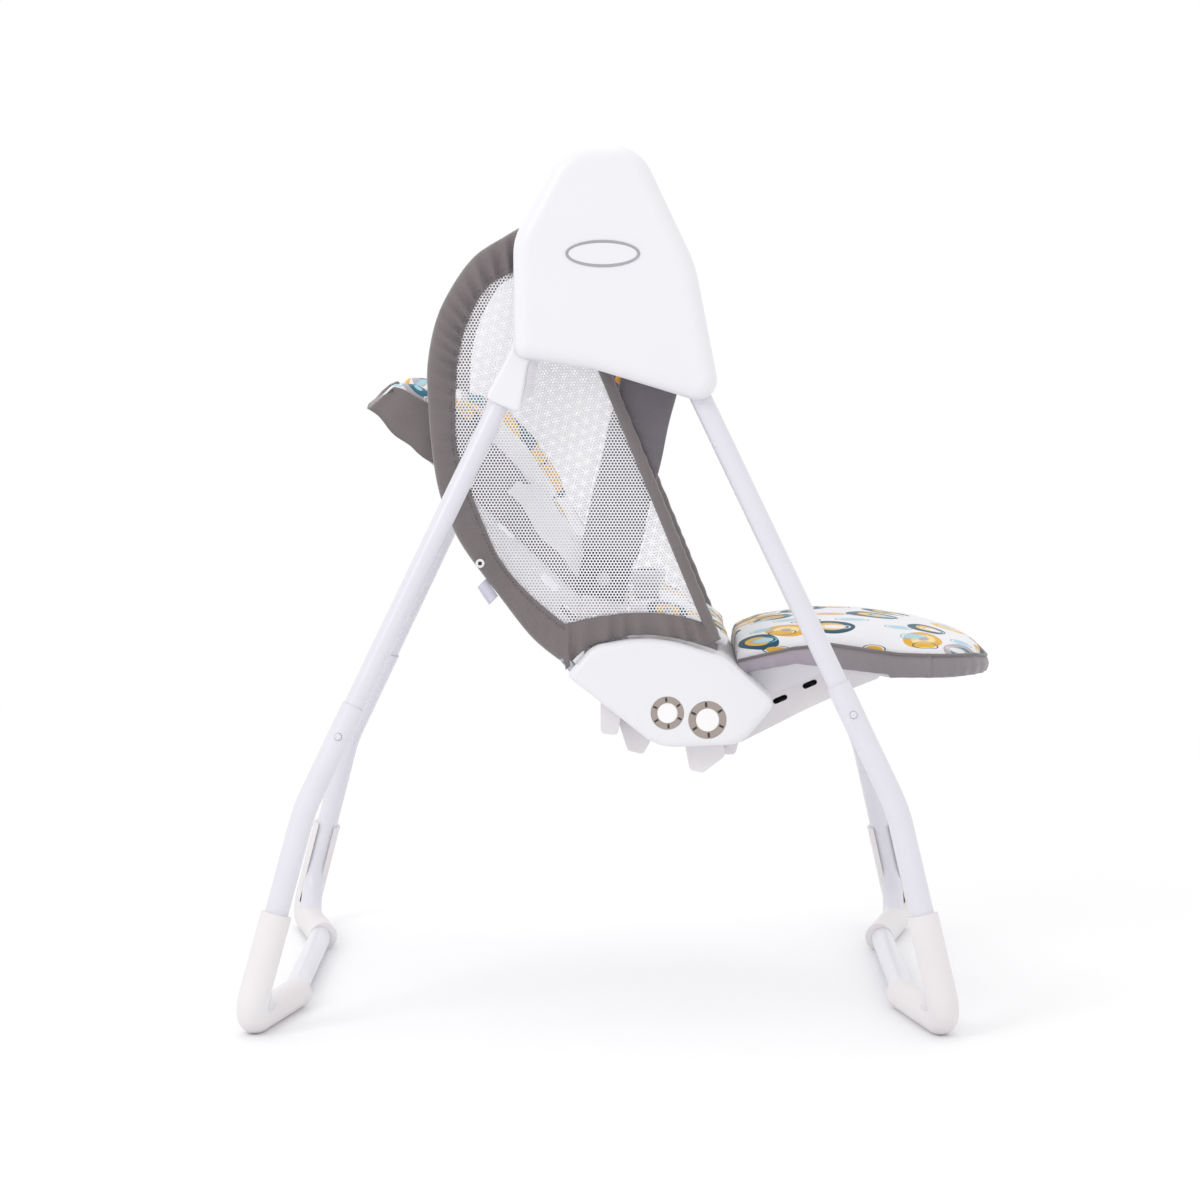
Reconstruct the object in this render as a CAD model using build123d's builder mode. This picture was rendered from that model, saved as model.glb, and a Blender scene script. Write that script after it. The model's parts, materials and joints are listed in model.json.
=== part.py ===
from build123d import *
import math
import os

os.makedirs("parts", exist_ok=True)

# A baby swing: two A-shaped leg frames with a hub at the top of each, and a reclined seat
# that hangs between the hubs from a wire-edged fabric wing on each side.
# Millimetres. +X points to the foot end of the seat, +Z is up, the right side of the seated
# child is -Y. The origin is on the floor. The script measures x from the middle between the
# four feet, and each piece is moved to the middle of the overall length as it is written.
# Parts of the right side are modelled at -Y and mirrored to the left.

# ---- leg frame ----
FOOT_X = 348.0          # tube centreline at the corner of a foot
FOOT_Y = 300.0
CROSS_X = 316.0         # floor tube, a little inboard of its feet
CROSS_HALF = 165.0
FLOOR_TUBE_Z = 14.0
KNEE_Z = 225.0          # where the lower tube turns towards the foot
LEG_LEVEL = 600.0       # level at which the two leg offsets below are taken
FRONT_LEG_X = 119.0
REAR_LEG_X = -112.0
LEG_RAKE = 0.48         # sideways run of a leg for each unit of height, seen from the side
LEG_LEVEL_Y = 212.0
LEG_SPLAY = 0.15        # the same, seen from the front
FRONT_LEG_TOP = 750.0
REAR_LEG_TOP = 690.0
FRONT_SEAM_Z = 348.0    # top end of each lower tube
REAR_SEAM_Z = 326.0
LEG_OVERLAP = 60.0      # length of upper tube that slides into the lower one
UPPER_OD = 21.0
LOWER_OD = 24.0
TUBE_WALL = 1.2
TUBE_FIT = 0.3          # radial clearance between upper and lower tube
CORNER_BEND = 60.0
KNEE_BEND = 160.0
CROSS_BEND = 200.0

# ---- foot caps ----
CAP_RADIUS = 15.6
CAP_TOP_Z = 122.0
CAP_BEND = 24.0
CAP_END_Y = 150.0
CAP_CHANNEL = 18.0
SOLE_FLAT = 0.8         # depth of the flat cut along the bottom of a cap

# ---- leg snap buttons ----
SNAP_RADIUS = 3.5
SNAP_TRAVEL = 3.0

# ---- hubs ----
HUB_INNER_Y = 170.0
HUB_OUTER_Y = 240.0
HUB_PLATE = 3.0
HUB_WALL = 2.5
HUB_DOME = 16.0
HUB_OUTLINE = [(-84, 674), (-84, 790), (-34, 884), (40, 884), (97, 765), (125, 622), (-2, 661)]
HUB_CORNERS = [14, 60, 46, 46, 150, 20, 150]
POST_RADIUS = 4.5
POSTS = [(-60, 765), (20, 862), (80, 740), (30, 690)]
SCREW_HEAD = 3.6

# ---- swing pivot ----
PIVOT_X = 27.0
PIVOT_Z = 800.0
SHAFT_RADIUS = 6.0
SHAFT_CLEARANCE = 0.05
SHAFT_INNER_Y = 151.0
SHAFT_OUTER_Y = 226.0
BUSH_RADIUS = 10.0
BUSH_LENGTH = 11.0

# ---- folding pivot of the rear legs ----
FOLD_X = -58.0
FOLD_Z = 706.0
FOLD_PIN_RADIUS = 4.0
SOCKET_HEAD = 18.5
SOCKET_INNER_Y = 187.0
SOCKET_OUTER_Y = 224.0
SOCKET_CLEARANCE = 1.5

# ---- swing drive, in the left hub ----
GEAR_X = -22.0
GEAR_Z = 768.0
GEAR_MODULE = 1.25
GEAR_TEETH = 40
PINION_TEETH = 12
GEAR_Y = 190.0
GEAR_WIDTH = 8.0
GEAR_BACKLASH = 0.5
GEAR_AXLE = 3.0
MOTOR_RADIUS = 12.0
MOTOR_LENGTH = 30.0
BRACKET_Y = 183.0
BRACKET_THICK = 3.0

# ---- controls, on the left hub ----
PANEL_X = 20.0
PANEL_THICK = 1.5
DIAL_Z = 756.0
DIAL_RADIUS = 15.0
DIAL_STEM = 3.0
BUTTON_Z = 724.0
BUTTON_RADIUS = 6.0
BUTTON_TRAVEL = 1.5
CONTROL_GAP = 0.3
JACK_X = 30.0
JACK_Y = 212.0
JACK_Z = 644.0

# ---- wings: a wire frame with a fabric panel on each side of the seat ----
WING_Y = 155.0
ROD_RADIUS = 5.0
WING_TOP = (-53, 800)
WING_REAR = [(-124, 768), (-164, 681), (-155, 514)]
WING_REAR_BENDS = [90, 150, 120]
WING_REAR_FOOT = (-22, 348)
WING_FRONT_FOOT = (120, 382)
WING_PANEL = 3.0
HANGER_THICK = 5.0

# ---- seat base ----
BASE_HALF = 140.0
COVER_Y = 168.0
BASE_WALL = 3.0
BASE_OUTLINE = [(-33, 347), (-6, 378), (58, 389), (128, 367), (182, 318), (146, 276), (62, 272)]
BASE_CORNERS = [6, 30, 150, 60, 10, 30, 50]
COVER_DOME = 12.0
DISCS = [(70.6, 309, 16.8), (111.6, 302, 19.2)]
DISC_RECESS = 1.5

# ---- recline handle, at the rear of the base ----
HANDLE_X = -2.0
HANDLE_Z = 342.0
HANDLE_HALF = 45.0
HANDLE_PIN_RADIUS = 2.5

# ---- front arm and leg rest ----
ARM_HALF = 75.0
ARM_WALL = 2.5
ARM_TOP = [(150, 340), (205, 352), (302, 338)]
ARM_BOTTOM = [(262, 322), (216, 301), (140, 262)]
ARM_SEAM = [(120, 292), (330, 380)]
LEG_REST_HALF = 100.0
LEG_REST_END = 385.0
LEG_REST_SKIN = 3.0
SHELL_CORNER = 40.0
PAD_GAP = 0.3
LEG_PAD_HALF = 120.0
LEG_PAD_FRONT = 424.0   # the foot end of the whole swing
LEG_PAD_CORNER = 78.0
SEAT_PAD_HALF = 118.0

# ---- reclining back: u runs up the back from its hinge, n points towards the child ----
BACK_HINGE_X = 8.0
BACK_HINGE_Z = 396.0
RECLINE = 43.0
BACK_HALF = 132.0
BACK_WALL = 3.0
BACK_PIN_RADIUS = 4.0
LUG_INNER_Y = 134.5
LUG_OUTER_Y = 137.2
BOLSTER_WIDTH = 38.0
PAN_N = 2.0
BACK_LENGTH = 326.0

# ---- harness ----
SEAT_TOP = 426.0
STRAP_WIDTH = 25.0
STRAP_THICK = 2.0
STRAP_GAP = 0.3
LAP_REACH = 100.0       # how far each lap strap reaches from the middle
SHOULDER_Y = 38.0
BUCKLE_X = 50.0
BUCKLE_LENGTH = 40.0
BUCKLE_WIDTH = 44.0
BUCKLE_HEIGHT = 14.0
BUCKLE_FLOOR = 6.0
BUTTON_SIDE = 20.0
BUTTON_FIT = 0.3
BUCKLE_TRAVEL = 2.0

# ---- toy bar ----
TOY_PIVOT_X = 5.0
TOY_PIVOT_Z = 445.0
TOY_LEAN = 13.2
TOY_BAR_Y = 147.0
TOY_BAR_WIDTH = 52.0
TOY_BAR_THICK = 5.0
TOY_BAR_HEIGHT = 258.0
TOY_BAR_BEND = 70.0
TOY_PIN_RADIUS = 4.0
TOYS = {"toy_sun": -62.0, "toy_leaf": 0.0, "toy_drop": 62.0}
TOY_HANG_X = 44.0
TOY_CORD = 1.5
TOY_DROP = 24.0
TOY_RADIUS = 25.0


def save(part, name):
    placed = Pos(-centre_x, 0, 0) * part
    placed.label = name
    export_step(placed, "parts/" + name + ".step")


def mirrored(part):
    with BuildPart() as twin:
        mirror(part, about=Plane.XZ)
    return twin.part


def save_sides(part, name):
    save(part, name + "_right")
    save(mirrored(part), name + "_left")


def save_pair(part, name):
    with BuildPart() as pair:
        add(part)
        mirror(part, about=Plane.XZ)
    save(pair.part, name)


def upright(y):
    """The vertical plane at that y; what is drawn on it is extruded towards -Y."""
    return Plane.XZ.offset(-y)


def outline(points, corners, grow=0.0):
    """A rounded outline on the current plane, drawn from its corner points."""
    with BuildSketch() as shape:
        with BuildLine():
            FilletPolyline(*points, radius=corners, close=True)
        make_face()
        if grow:
            offset(amount=grow)
    return shape.sketch


def cylinder_y(x, z, radius, y_low, y_high):
    with BuildPart() as rod:
        with BuildSketch(upright(y_high)):
            with Locations((x, z)):
                Circle(radius)
        extrude(amount=y_high - y_low)
    return rod.part


def swept(path, radius, bore=0.0):
    with BuildPart() as tube:
        with BuildSketch(Plane(origin=path @ 0, z_dir=path % 0)):
            Circle(radius)
            if bore:
                Circle(bore, mode=Mode.SUBTRACT)
        sweep(path=path)
    return tube.part


# ---- legs ----

def leg_point(z, front):
    """A point on the centreline of a straight right leg, at that height."""
    run = (LEG_LEVEL - z) * LEG_RAKE
    x = FRONT_LEG_X + run if front else REAR_LEG_X - run
    return (x, -(LEG_LEVEL_Y + (LEG_LEVEL - z) * LEG_SPLAY), z)


def leg_axis(front):
    top = Vector(*leg_point(LEG_LEVEL, front))
    return (Vector(*leg_point(0, front)) - top).normalized()


def straight(start, end):
    with BuildLine() as line:
        Line(start, end)
    return line.line


def upper_leg(front):
    top = FRONT_LEG_TOP if front else REAR_LEG_TOP
    seam = FRONT_SEAM_Z if front else REAR_SEAM_Z
    radius = UPPER_OD / 2
    path = straight(leg_point(top, front), leg_point(seam - LEG_OVERLAP * 0.9, front))
    hole = snap_hole(front)
    with BuildPart() as leg:
        add(swept(path, radius, radius - TUBE_WALL))
        add(hole, mode=Mode.SUBTRACT)
    return leg.part


def snap_plane(front):
    """The outward plane on the side of a leg, halfway down the overlap of its two tubes."""
    seam = FRONT_SEAM_Z if front else REAR_SEAM_Z
    centre = Vector(*leg_point(seam - LEG_OVERLAP / 2, front))
    axis = leg_axis(front)
    outward = axis.cross(Vector(1, 0, 0)).normalized()
    if outward.Y > 0:
        outward = outward * -1
    return Plane(origin=centre, z_dir=outward)


def snap_hole(front):
    with BuildPart() as hole:
        with BuildSketch(snap_plane(front)):
            Circle(SNAP_RADIUS + TUBE_FIT)
        extrude(amount=LOWER_OD)
    return hole.part


def snap_button(front):
    """A sprung steel button inside the upper tube; it locks both tubes together."""
    with BuildPart() as button:
        with BuildSketch(snap_plane(front)):
            Circle(SNAP_RADIUS)
        extrude(amount=LOWER_OD / 2 + SNAP_TRAVEL - 1)
        fillet(button.edges().sort_by(Axis.Y)[0], SNAP_RADIUS * 0.4)
    return button.part


def base_tube(front):
    """One bent floor tube: two lower legs with the cross tube between their feet."""
    sign = 1 if front else -1
    seam = FRONT_SEAM_Z if front else REAR_SEAM_Z
    top = leg_point(seam, front)
    knee = leg_point(KNEE_Z, front)
    corner = (sign * FOOT_X, -FOOT_Y, FLOOR_TUBE_Z)
    inner = (sign * CROSS_X, -CROSS_HALF, FLOOR_TUBE_Z)
    half = [top, knee, corner, inner]
    points = half + [(x, -y, z) for x, y, z in reversed(half)]
    bends = [KNEE_BEND, CORNER_BEND, CROSS_BEND]
    with BuildLine() as path:
        FilletPolyline(*points, radius=bends + bends[::-1])
    radius = LOWER_OD / 2
    hole = snap_hole(front)
    with BuildPart() as tube:
        add(swept(path.line, radius, radius - TUBE_WALL))
        add(hole, mode=Mode.SUBTRACT)
        add(mirrored(hole), mode=Mode.SUBTRACT)
    return tube.part, path.line


def foot_cap(front, tube_path):
    """A moulded elbow over the outside of a foot, open on its inner face."""
    sign = 1 if front else -1
    knee = Vector(*leg_point(KNEE_Z, front))
    corner = Vector(sign * FOOT_X, -FOOT_Y, FLOOR_TUBE_Z)
    inner = Vector(sign * CROSS_X, -CROSS_HALF, FLOOR_TUBE_Z)
    sole = Vector(0, 0, CAP_RADIUS - SOLE_FLAT - FLOOR_TUBE_Z)
    top = corner + (knee - corner) * ((CAP_TOP_Z - FLOOR_TUBE_Z) / (KNEE_Z - FLOOR_TUBE_Z))
    end = corner + (inner - corner) * ((FOOT_Y - CAP_END_Y) / (FOOT_Y - CROSS_HALF))
    with BuildLine() as path:
        FilletPolyline(top, corner + sole, end + sole, radius=CAP_BEND)
    tube = swept(tube_path, LOWER_OD / 2 + 0.1)
    lean = (knee - corner).normalized()
    channel = Plane(origin=corner + lean * (CAP_TOP_Z * 0.55), x_dir=(1, 0, 0), z_dir=lean)
    with BuildPart() as cap:
        add(swept(path.line, CAP_RADIUS))
        with BuildSketch(channel):
            with Locations((0, CAP_RADIUS)):
                Rectangle(CAP_CHANNEL, CAP_RADIUS * 2)
        extrude(amount=CAP_TOP_Z * 0.4, both=True, mode=Mode.SUBTRACT)
        add(tube, mode=Mode.SUBTRACT)
        with Locations((0, 0, -CAP_RADIUS)):
            Box(1000, 1000, CAP_RADIUS * 2, mode=Mode.SUBTRACT)
    return cap.part.solids().sort_by(SortBy.VOLUME)[-1]


def rear_socket():
    """The moulded cuff that holds a rear leg and turns on the folding pin in the hub."""
    cuff = [(-76, 722), (-88, 678), (-113, 632), (-78, 617), (-69, 668), (-40, 700)]
    leg = straight(leg_point(REAR_LEG_TOP, False), leg_point(REAR_LEG_TOP - 200, False))
    depth = SOCKET_OUTER_Y - SOCKET_INNER_Y
    with BuildPart() as socket:
        with BuildSketch(upright(-SOCKET_INNER_Y)):
            add(outline(cuff, [10, 40, 6, 6, 20, 10]))
        extrude(amount=depth)
        fillet(socket.edges().group_by(Axis.Y)[0], 4)
        with BuildSketch(upright(-SOCKET_INNER_Y)):
            with Locations((FOLD_X, FOLD_Z)):
                Circle(SOCKET_HEAD)
        extrude(amount=depth)
        pin = cylinder_y(FOLD_X, FOLD_Z, FOLD_PIN_RADIUS + 0.05, -HUB_OUTER_Y, 0)
        add(pin, mode=Mode.SUBTRACT)
        add(swept(leg, UPPER_OD / 2), mode=Mode.SUBTRACT)
    return socket.part


# ---- hubs ----

def hub_blank(grow, depth, dome):
    """The solid outer form of a hub, grown or shrunk, with a rounded outer edge."""
    with BuildPart() as blank:
        with BuildSketch(upright(-HUB_INNER_Y - HUB_PLATE)):
            add(outline(HUB_OUTLINE, HUB_CORNERS, grow))
        extrude(amount=depth)
        fillet(blank.edges().group_by(Axis.Y)[0], dome)
    return blank.part


def fold_slot():
    """The fan-shaped way that a rear socket sweeps through the hub's lower wall."""
    reach = 150.0
    fan = [(FOLD_X, FOLD_Z)]
    for degrees in (-100, -72, -45, -15, 15, 42):
        angle = math.radians(degrees)
        fan.append((FOLD_X + reach * math.sin(angle), FOLD_Z - reach * math.cos(angle)))
    with BuildPart() as slot:
        with BuildSketch(upright(-SOCKET_INNER_Y + SOCKET_CLEARANCE)):
            with BuildLine():
                Polyline(*fan, close=True)
            make_face()
            with Locations((FOLD_X, FOLD_Z)):
                Circle(SOCKET_HEAD + SOCKET_CLEARANCE)
        extrude(amount=SOCKET_OUTER_Y - SOCKET_INNER_Y + 2 * SOCKET_CLEARANCE)
    return slot.part


def front_leg_hole():
    path = straight(leg_point(LEG_LEVEL + 60, True), leg_point(LEG_LEVEL - 40, True))
    return swept(path, UPPER_OD / 2 + TUBE_FIT)


def hub_outer_cover():
    depth = HUB_OUTER_Y - HUB_INNER_Y - HUB_PLATE
    inside = hub_blank(-HUB_WALL, depth - HUB_WALL, HUB_DOME - HUB_WALL)
    posts = [cylinder_y(x, z, POST_RADIUS, -HUB_OUTER_Y + HUB_WALL, -HUB_INNER_Y - HUB_PLATE)
             for x, z in POSTS]
    boss = cylinder_y(PIVOT_X, PIVOT_Z, BUSH_RADIUS + 4, -HUB_OUTER_Y + HUB_WALL, -SHAFT_OUTER_Y + 10)
    seat = cylinder_y(PIVOT_X, PIVOT_Z, BUSH_RADIUS, -SHAFT_OUTER_Y - 1, -SHAFT_OUTER_Y + 10)
    with BuildPart() as cover:
        add(hub_blank(0, depth, HUB_DOME))
        add(inside, mode=Mode.SUBTRACT)
        for post in posts:
            add(post)
        add(boss)
        add(seat, mode=Mode.SUBTRACT)
        add(fold_pin(), mode=Mode.SUBTRACT)
        add(fold_slot(), mode=Mode.SUBTRACT)
        add(front_leg_hole(), mode=Mode.SUBTRACT)
    return cover.part.solids().sort_by(SortBy.VOLUME)[-1]


def left_outer_cover():
    """The left cover also has the holes for the controls and the power jack."""
    with BuildPart() as cover:
        add(mirrored(hub_outer_cover()))
        add(control_holes(CONTROL_GAP), mode=Mode.SUBTRACT)
        with BuildSketch(Plane.XY.offset(JACK_Z - 30)):
            with Locations((JACK_X, JACK_Y)):
                Circle(6)
        extrude(amount=46, mode=Mode.SUBTRACT)
    return cover.part


def hub_inner_cover():
    with BuildPart() as cover:
        with BuildSketch(upright(-HUB_INNER_Y)):
            add(outline(HUB_OUTLINE, HUB_CORNERS, -0.2))
            with Locations((PIVOT_X, PIVOT_Z)):
                Circle(BUSH_RADIUS, mode=Mode.SUBTRACT)
        extrude(amount=HUB_PLATE)
        with BuildSketch(upright(-HUB_INNER_Y - HUB_PLATE)):
            with Locations((PIVOT_X, PIVOT_Z)):
                Circle(BUSH_RADIUS + 4)
                Circle(BUSH_RADIUS, mode=Mode.SUBTRACT)
        extrude(amount=BUSH_LENGTH - HUB_PLATE)
        with BuildSketch(upright(-HUB_INNER_Y - HUB_PLATE)):
            with Locations((FOLD_X, FOLD_Z)):
                Circle(FOLD_PIN_RADIUS + 5)
        extrude(amount=SOCKET_INNER_Y - HUB_INNER_Y - HUB_PLATE - 0.3)
        add(fold_pin(), mode=Mode.SUBTRACT)
        add(screws(), mode=Mode.SUBTRACT)
    return cover.part


def fold_pin():
    with BuildPart() as pin:
        add(cylinder_y(FOLD_X, FOLD_Z, FOLD_PIN_RADIUS, -HUB_OUTER_Y + HUB_WALL, -HUB_INNER_Y))
        add(cylinder_y(FOLD_X, FOLD_Z, FOLD_PIN_RADIUS + 3, -HUB_INNER_Y, -HUB_INNER_Y + 2))
    return pin.part


def screws():
    """The screws that hold the inner cover to the posts of the outer one."""
    with BuildPart() as group:
        for x, z in POSTS:
            add(cylinder_y(x, z, SCREW_HEAD, -HUB_INNER_Y, -HUB_INNER_Y + 2))
            add(cylinder_y(x, z, SCREW_HEAD / 2, -HUB_INNER_Y - HUB_PLATE, -HUB_INNER_Y))
    return group.part


def bushes():
    inner = cylinder_y(PIVOT_X, PIVOT_Z, BUSH_RADIUS, -HUB_INNER_Y - BUSH_LENGTH, -HUB_INNER_Y + 1)
    outer = cylinder_y(PIVOT_X, PIVOT_Z, BUSH_RADIUS, -SHAFT_OUTER_Y, -SHAFT_OUTER_Y + 10)
    bore = cylinder_y(PIVOT_X, PIVOT_Z, SHAFT_RADIUS + SHAFT_CLEARANCE, -HUB_OUTER_Y, 0)
    with BuildPart() as group:
        add(inner)
        add(outer)
        add(bore, mode=Mode.SUBTRACT)
    return group.part


# ---- drive ----

def gear(x, z, teeth, bore):
    """A straight-cut gear with plain flanks, thin enough at the pitch line to turn freely."""
    pitch_radius = GEAR_MODULE * teeth / 2
    root = pitch_radius - 1.3 * GEAR_MODULE
    tip = pitch_radius + 0.85 * GEAR_MODULE
    base = 0.95 * GEAR_MODULE
    crest = 0.30 * GEAR_MODULE
    turn = 0 if teeth == GEAR_TEETH else 180.0 / teeth
    with BuildPart() as wheel:
        with BuildSketch(upright(GEAR_Y + GEAR_WIDTH)):
            with Locations((x, z)):
                Circle(root)
                with PolarLocations(0, teeth, start_angle=90 + turn):
                    Polygon((root - 0.4, -base), (tip, -crest), (tip, crest), (root - 0.4, base),
                            align=None)
                Circle(bore, mode=Mode.SUBTRACT)
        extrude(amount=GEAR_WIDTH)
    return wheel.part


def pinion_height():
    return GEAR_Z + GEAR_MODULE * (GEAR_TEETH + PINION_TEETH) / 2 + GEAR_BACKLASH


def motor():
    """The small motor with its spindle, which the pinion turns with in the real drive."""
    start = GEAR_Y + GEAR_WIDTH + 2
    with BuildPart() as can:
        add(cylinder_y(GEAR_X, pinion_height(), MOTOR_RADIUS, start, start + MOTOR_LENGTH))
        fillet(can.edges().group_by(Axis.Y)[-1], 2)
        add(cylinder_y(GEAR_X, pinion_height(), 4, start - 1.5, start))
    return can.part


def motor_bracket():
    """The plate behind the drive, with the axle of the gear, fixed to the inner cover."""
    plate = [(GEAR_X - 20, GEAR_Z - 14), (GEAR_X - 22, GEAR_Z + 46), (GEAR_X + 16, GEAR_Z + 48),
             (GEAR_X + 14, GEAR_Z - 14)]
    arm = [(GEAR_X - 8, pinion_height() + 14), (GEAR_X + 8, pinion_height() + 14),
           (GEAR_X + 8, pinion_height() + 17), (GEAR_X - 8, pinion_height() + 17)]
    with BuildPart() as bracket:
        with BuildSketch(upright(BRACKET_Y + BRACKET_THICK)):
            add(outline(plate, 6))
        extrude(amount=BRACKET_THICK)
        add(cylinder_y(GEAR_X, GEAR_Z, GEAR_AXLE, BRACKET_Y, GEAR_Y + GEAR_WIDTH + 3))
        add(cylinder_y(GEAR_X, pinion_height(), 2, BRACKET_Y, GEAR_Y - 0.5))
        for x in (GEAR_X - 14, GEAR_X + 8):
            add(cylinder_y(x, GEAR_Z + 36, 3, HUB_INNER_Y + HUB_PLATE, BRACKET_Y))
            add(cylinder_y(x, GEAR_Z - 6, 3, HUB_INNER_Y + HUB_PLATE, BRACKET_Y))
        with BuildSketch(upright(GEAR_Y + GEAR_WIDTH + 2 + MOTOR_LENGTH)):
            add(outline(arm, 1))
        extrude(amount=GEAR_Y + GEAR_WIDTH + 2 + MOTOR_LENGTH - BRACKET_Y)
        with BuildSketch(upright(GEAR_Y + GEAR_WIDTH + 2 + MOTOR_LENGTH)):
            with Locations((GEAR_X, pinion_height())):
                Circle(MOTOR_RADIUS + 3)
                Circle(MOTOR_RADIUS, mode=Mode.SUBTRACT)
        extrude(amount=10)
    return bracket.part.solids().sort_by(SortBy.VOLUME)[-1]


# ---- controls ----

def control_holes(clearance):
    """What the knob's stem, the button and the jack pass through, in the panel and the cover."""
    with BuildPart() as holes:
        add(cylinder_y(PANEL_X, DIAL_Z, DIAL_STEM + clearance, HUB_OUTER_Y - 8, HUB_OUTER_Y + PANEL_THICK))
        add(cylinder_y(PANEL_X, BUTTON_Z, BUTTON_RADIUS + clearance, HUB_OUTER_Y - 8,
                       HUB_OUTER_Y + PANEL_THICK))
    return holes.part


def control_panel():
    frame = [(PANEL_X - 30, BUTTON_Z - 14), (PANEL_X - 26, DIAL_Z + 26), (PANEL_X + 26, DIAL_Z + 26),
             (PANEL_X + 30, BUTTON_Z - 14)]
    with BuildPart() as panel:
        with BuildSketch(upright(HUB_OUTER_Y + PANEL_THICK)):
            add(outline(frame, 9))
        extrude(amount=PANEL_THICK)
        add(control_holes(CONTROL_GAP), mode=Mode.SUBTRACT)
    return panel.part


def speed_dial():
    face = HUB_OUTER_Y + PANEL_THICK
    with BuildPart() as dial:
        add(cylinder_y(PANEL_X, DIAL_Z, DIAL_RADIUS, face, face + 10))
        fillet(dial.edges().group_by(Axis.Y)[-1], 1.5)
        with BuildSketch(upright(face + 13)):
            with Locations((PANEL_X, DIAL_Z)):
                Rectangle(6, DIAL_RADIUS * 1.8)
        extrude(amount=4)
        add(cylinder_y(PANEL_X, DIAL_Z, DIAL_STEM, HUB_OUTER_Y - 7, face))
    return dial.part


def power_button():
    face = HUB_OUTER_Y + PANEL_THICK
    with BuildPart() as button:
        add(cylinder_y(PANEL_X, BUTTON_Z, BUTTON_RADIUS, HUB_OUTER_Y - 5, face + BUTTON_TRAVEL + 1))
        fillet(button.edges().group_by(Axis.Y)[-1], 1)
    return button.part


def power_jack():
    """The socket for a mains adapter, in the lower wall of the left hub."""
    with BuildPart() as jack:
        with BuildSketch(Plane.XY.offset(JACK_Z)):
            with Locations((JACK_X, JACK_Y)):
                Circle(6)
                Circle(3, mode=Mode.SUBTRACT)
        extrude(amount=16)
        with BuildSketch(Plane.XY.offset(JACK_Z + 12)):
            with Locations((JACK_X, JACK_Y)):
                Circle(6)
        extrude(amount=4)
        with BuildSketch(Plane.XY.offset(JACK_Z + 2)):
            with Locations((JACK_X, JACK_Y)):
                Circle(1)
        extrude(amount=12)
    return jack.part


def badge():
    with BuildPart() as plate:
        with BuildSketch(upright(-HUB_OUTER_Y)):
            with Locations((5, 776)):
                Ellipse(37, 13.5)
        extrude(amount=1)
    return plate.part


# ---- wings ----

def wing_loop():
    points = [WING_TOP] + WING_REAR + [WING_REAR_FOOT, WING_FRONT_FOOT]
    return points, [12] + WING_REAR_BENDS + [4, 4]


def rear_rod():
    points = [WING_TOP] + WING_REAR + [WING_REAR_FOOT]
    with BuildLine(upright(-WING_Y)) as path:
        FilletPolyline(*points, radius=WING_REAR_BENDS)
    return swept(path.line, ROD_RADIUS)


def front_rod():
    along = Vector(WING_FRONT_FOOT[0] - WING_TOP[0], WING_FRONT_FOOT[1] - WING_TOP[1]).normalized()
    start = Vector(*WING_TOP) + along * (2 * ROD_RADIUS)
    with BuildLine(upright(-WING_Y)) as path:
        Line((start.X, start.Y), WING_FRONT_FOOT)
    return swept(path.line, ROD_RADIUS)


def wing_panel():
    points, corners = wing_loop()
    with BuildPart() as panel:
        with BuildSketch(upright(-WING_Y + WING_PANEL / 2)):
            add(outline(points, corners, -ROD_RADIUS - 0.5))
            add(outline(BASE_OUTLINE, BASE_CORNERS, 1), mode=Mode.SUBTRACT)
        extrude(amount=WING_PANEL)
    return panel.part.solids().sort_by(SortBy.VOLUME)[-1]


def hanger_bracket():
    """The steel plate that joins both rods of a wing to the swing shaft."""
    plate = [(-70, 800), (-48, 818), (PIVOT_X, PIVOT_Z + 17), (PIVOT_X + 19, PIVOT_Z),
             (PIVOT_X, PIVOT_Z - 18), (-12, 716), (-34, 722)]
    with BuildPart() as bracket:
        with BuildSketch(upright(-WING_Y - ROD_RADIUS)):
            add(outline(plate, [6, 10, 14, 14, 20, 8, 8]))
            with Locations((PIVOT_X, PIVOT_Z)):
                Circle(SHAFT_RADIUS, mode=Mode.SUBTRACT)
        extrude(amount=HANGER_THICK)
    return bracket.part


# ---- seat base, arm, leg rest ----

def base_shell():
    lug = [(BACK_HINGE_X - 10, 372), (BACK_HINGE_X - 9, BACK_HINGE_Z + 9),
           (BACK_HINGE_X + 9, BACK_HINGE_Z + 9), (BACK_HINGE_X + 14, 372)]
    with BuildPart() as shell:
        with BuildSketch(upright(BASE_HALF)):
            add(outline(BASE_OUTLINE, BASE_CORNERS))
            add(outline(BASE_OUTLINE, BASE_CORNERS, -BASE_WALL), mode=Mode.SUBTRACT)
        extrude(amount=2 * BASE_HALF)
        for low, high in ((-LUG_OUTER_Y, -LUG_INNER_Y), (LUG_INNER_Y, LUG_OUTER_Y)):
            with BuildSketch(upright(high)):
                add(outline(lug, [2, 9, 9, 2]))
            extrude(amount=high - low)
        add(hinge_pin(), mode=Mode.SUBTRACT)
        add(mirrored(hinge_pin()), mode=Mode.SUBTRACT)
        add(recline_slot(), mode=Mode.SUBTRACT)
        for low in (-HANDLE_HALF - 4.5, HANDLE_HALF + 1.5):
            with BuildSketch(upright(low + 3)):
                with Locations((HANDLE_X, HANDLE_Z)):
                    Circle(24)
                add(outline(BASE_OUTLINE, BASE_CORNERS), mode=Mode.INTERSECT)
            extrude(amount=3)
        add(handle_pin(), mode=Mode.SUBTRACT)
    return shell.part


def hinge_pin():
    return cylinder_y(BACK_HINGE_X, BACK_HINGE_Z, BACK_PIN_RADIUS, -LUG_OUTER_Y, -BACK_HALF + BACK_WALL)


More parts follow.
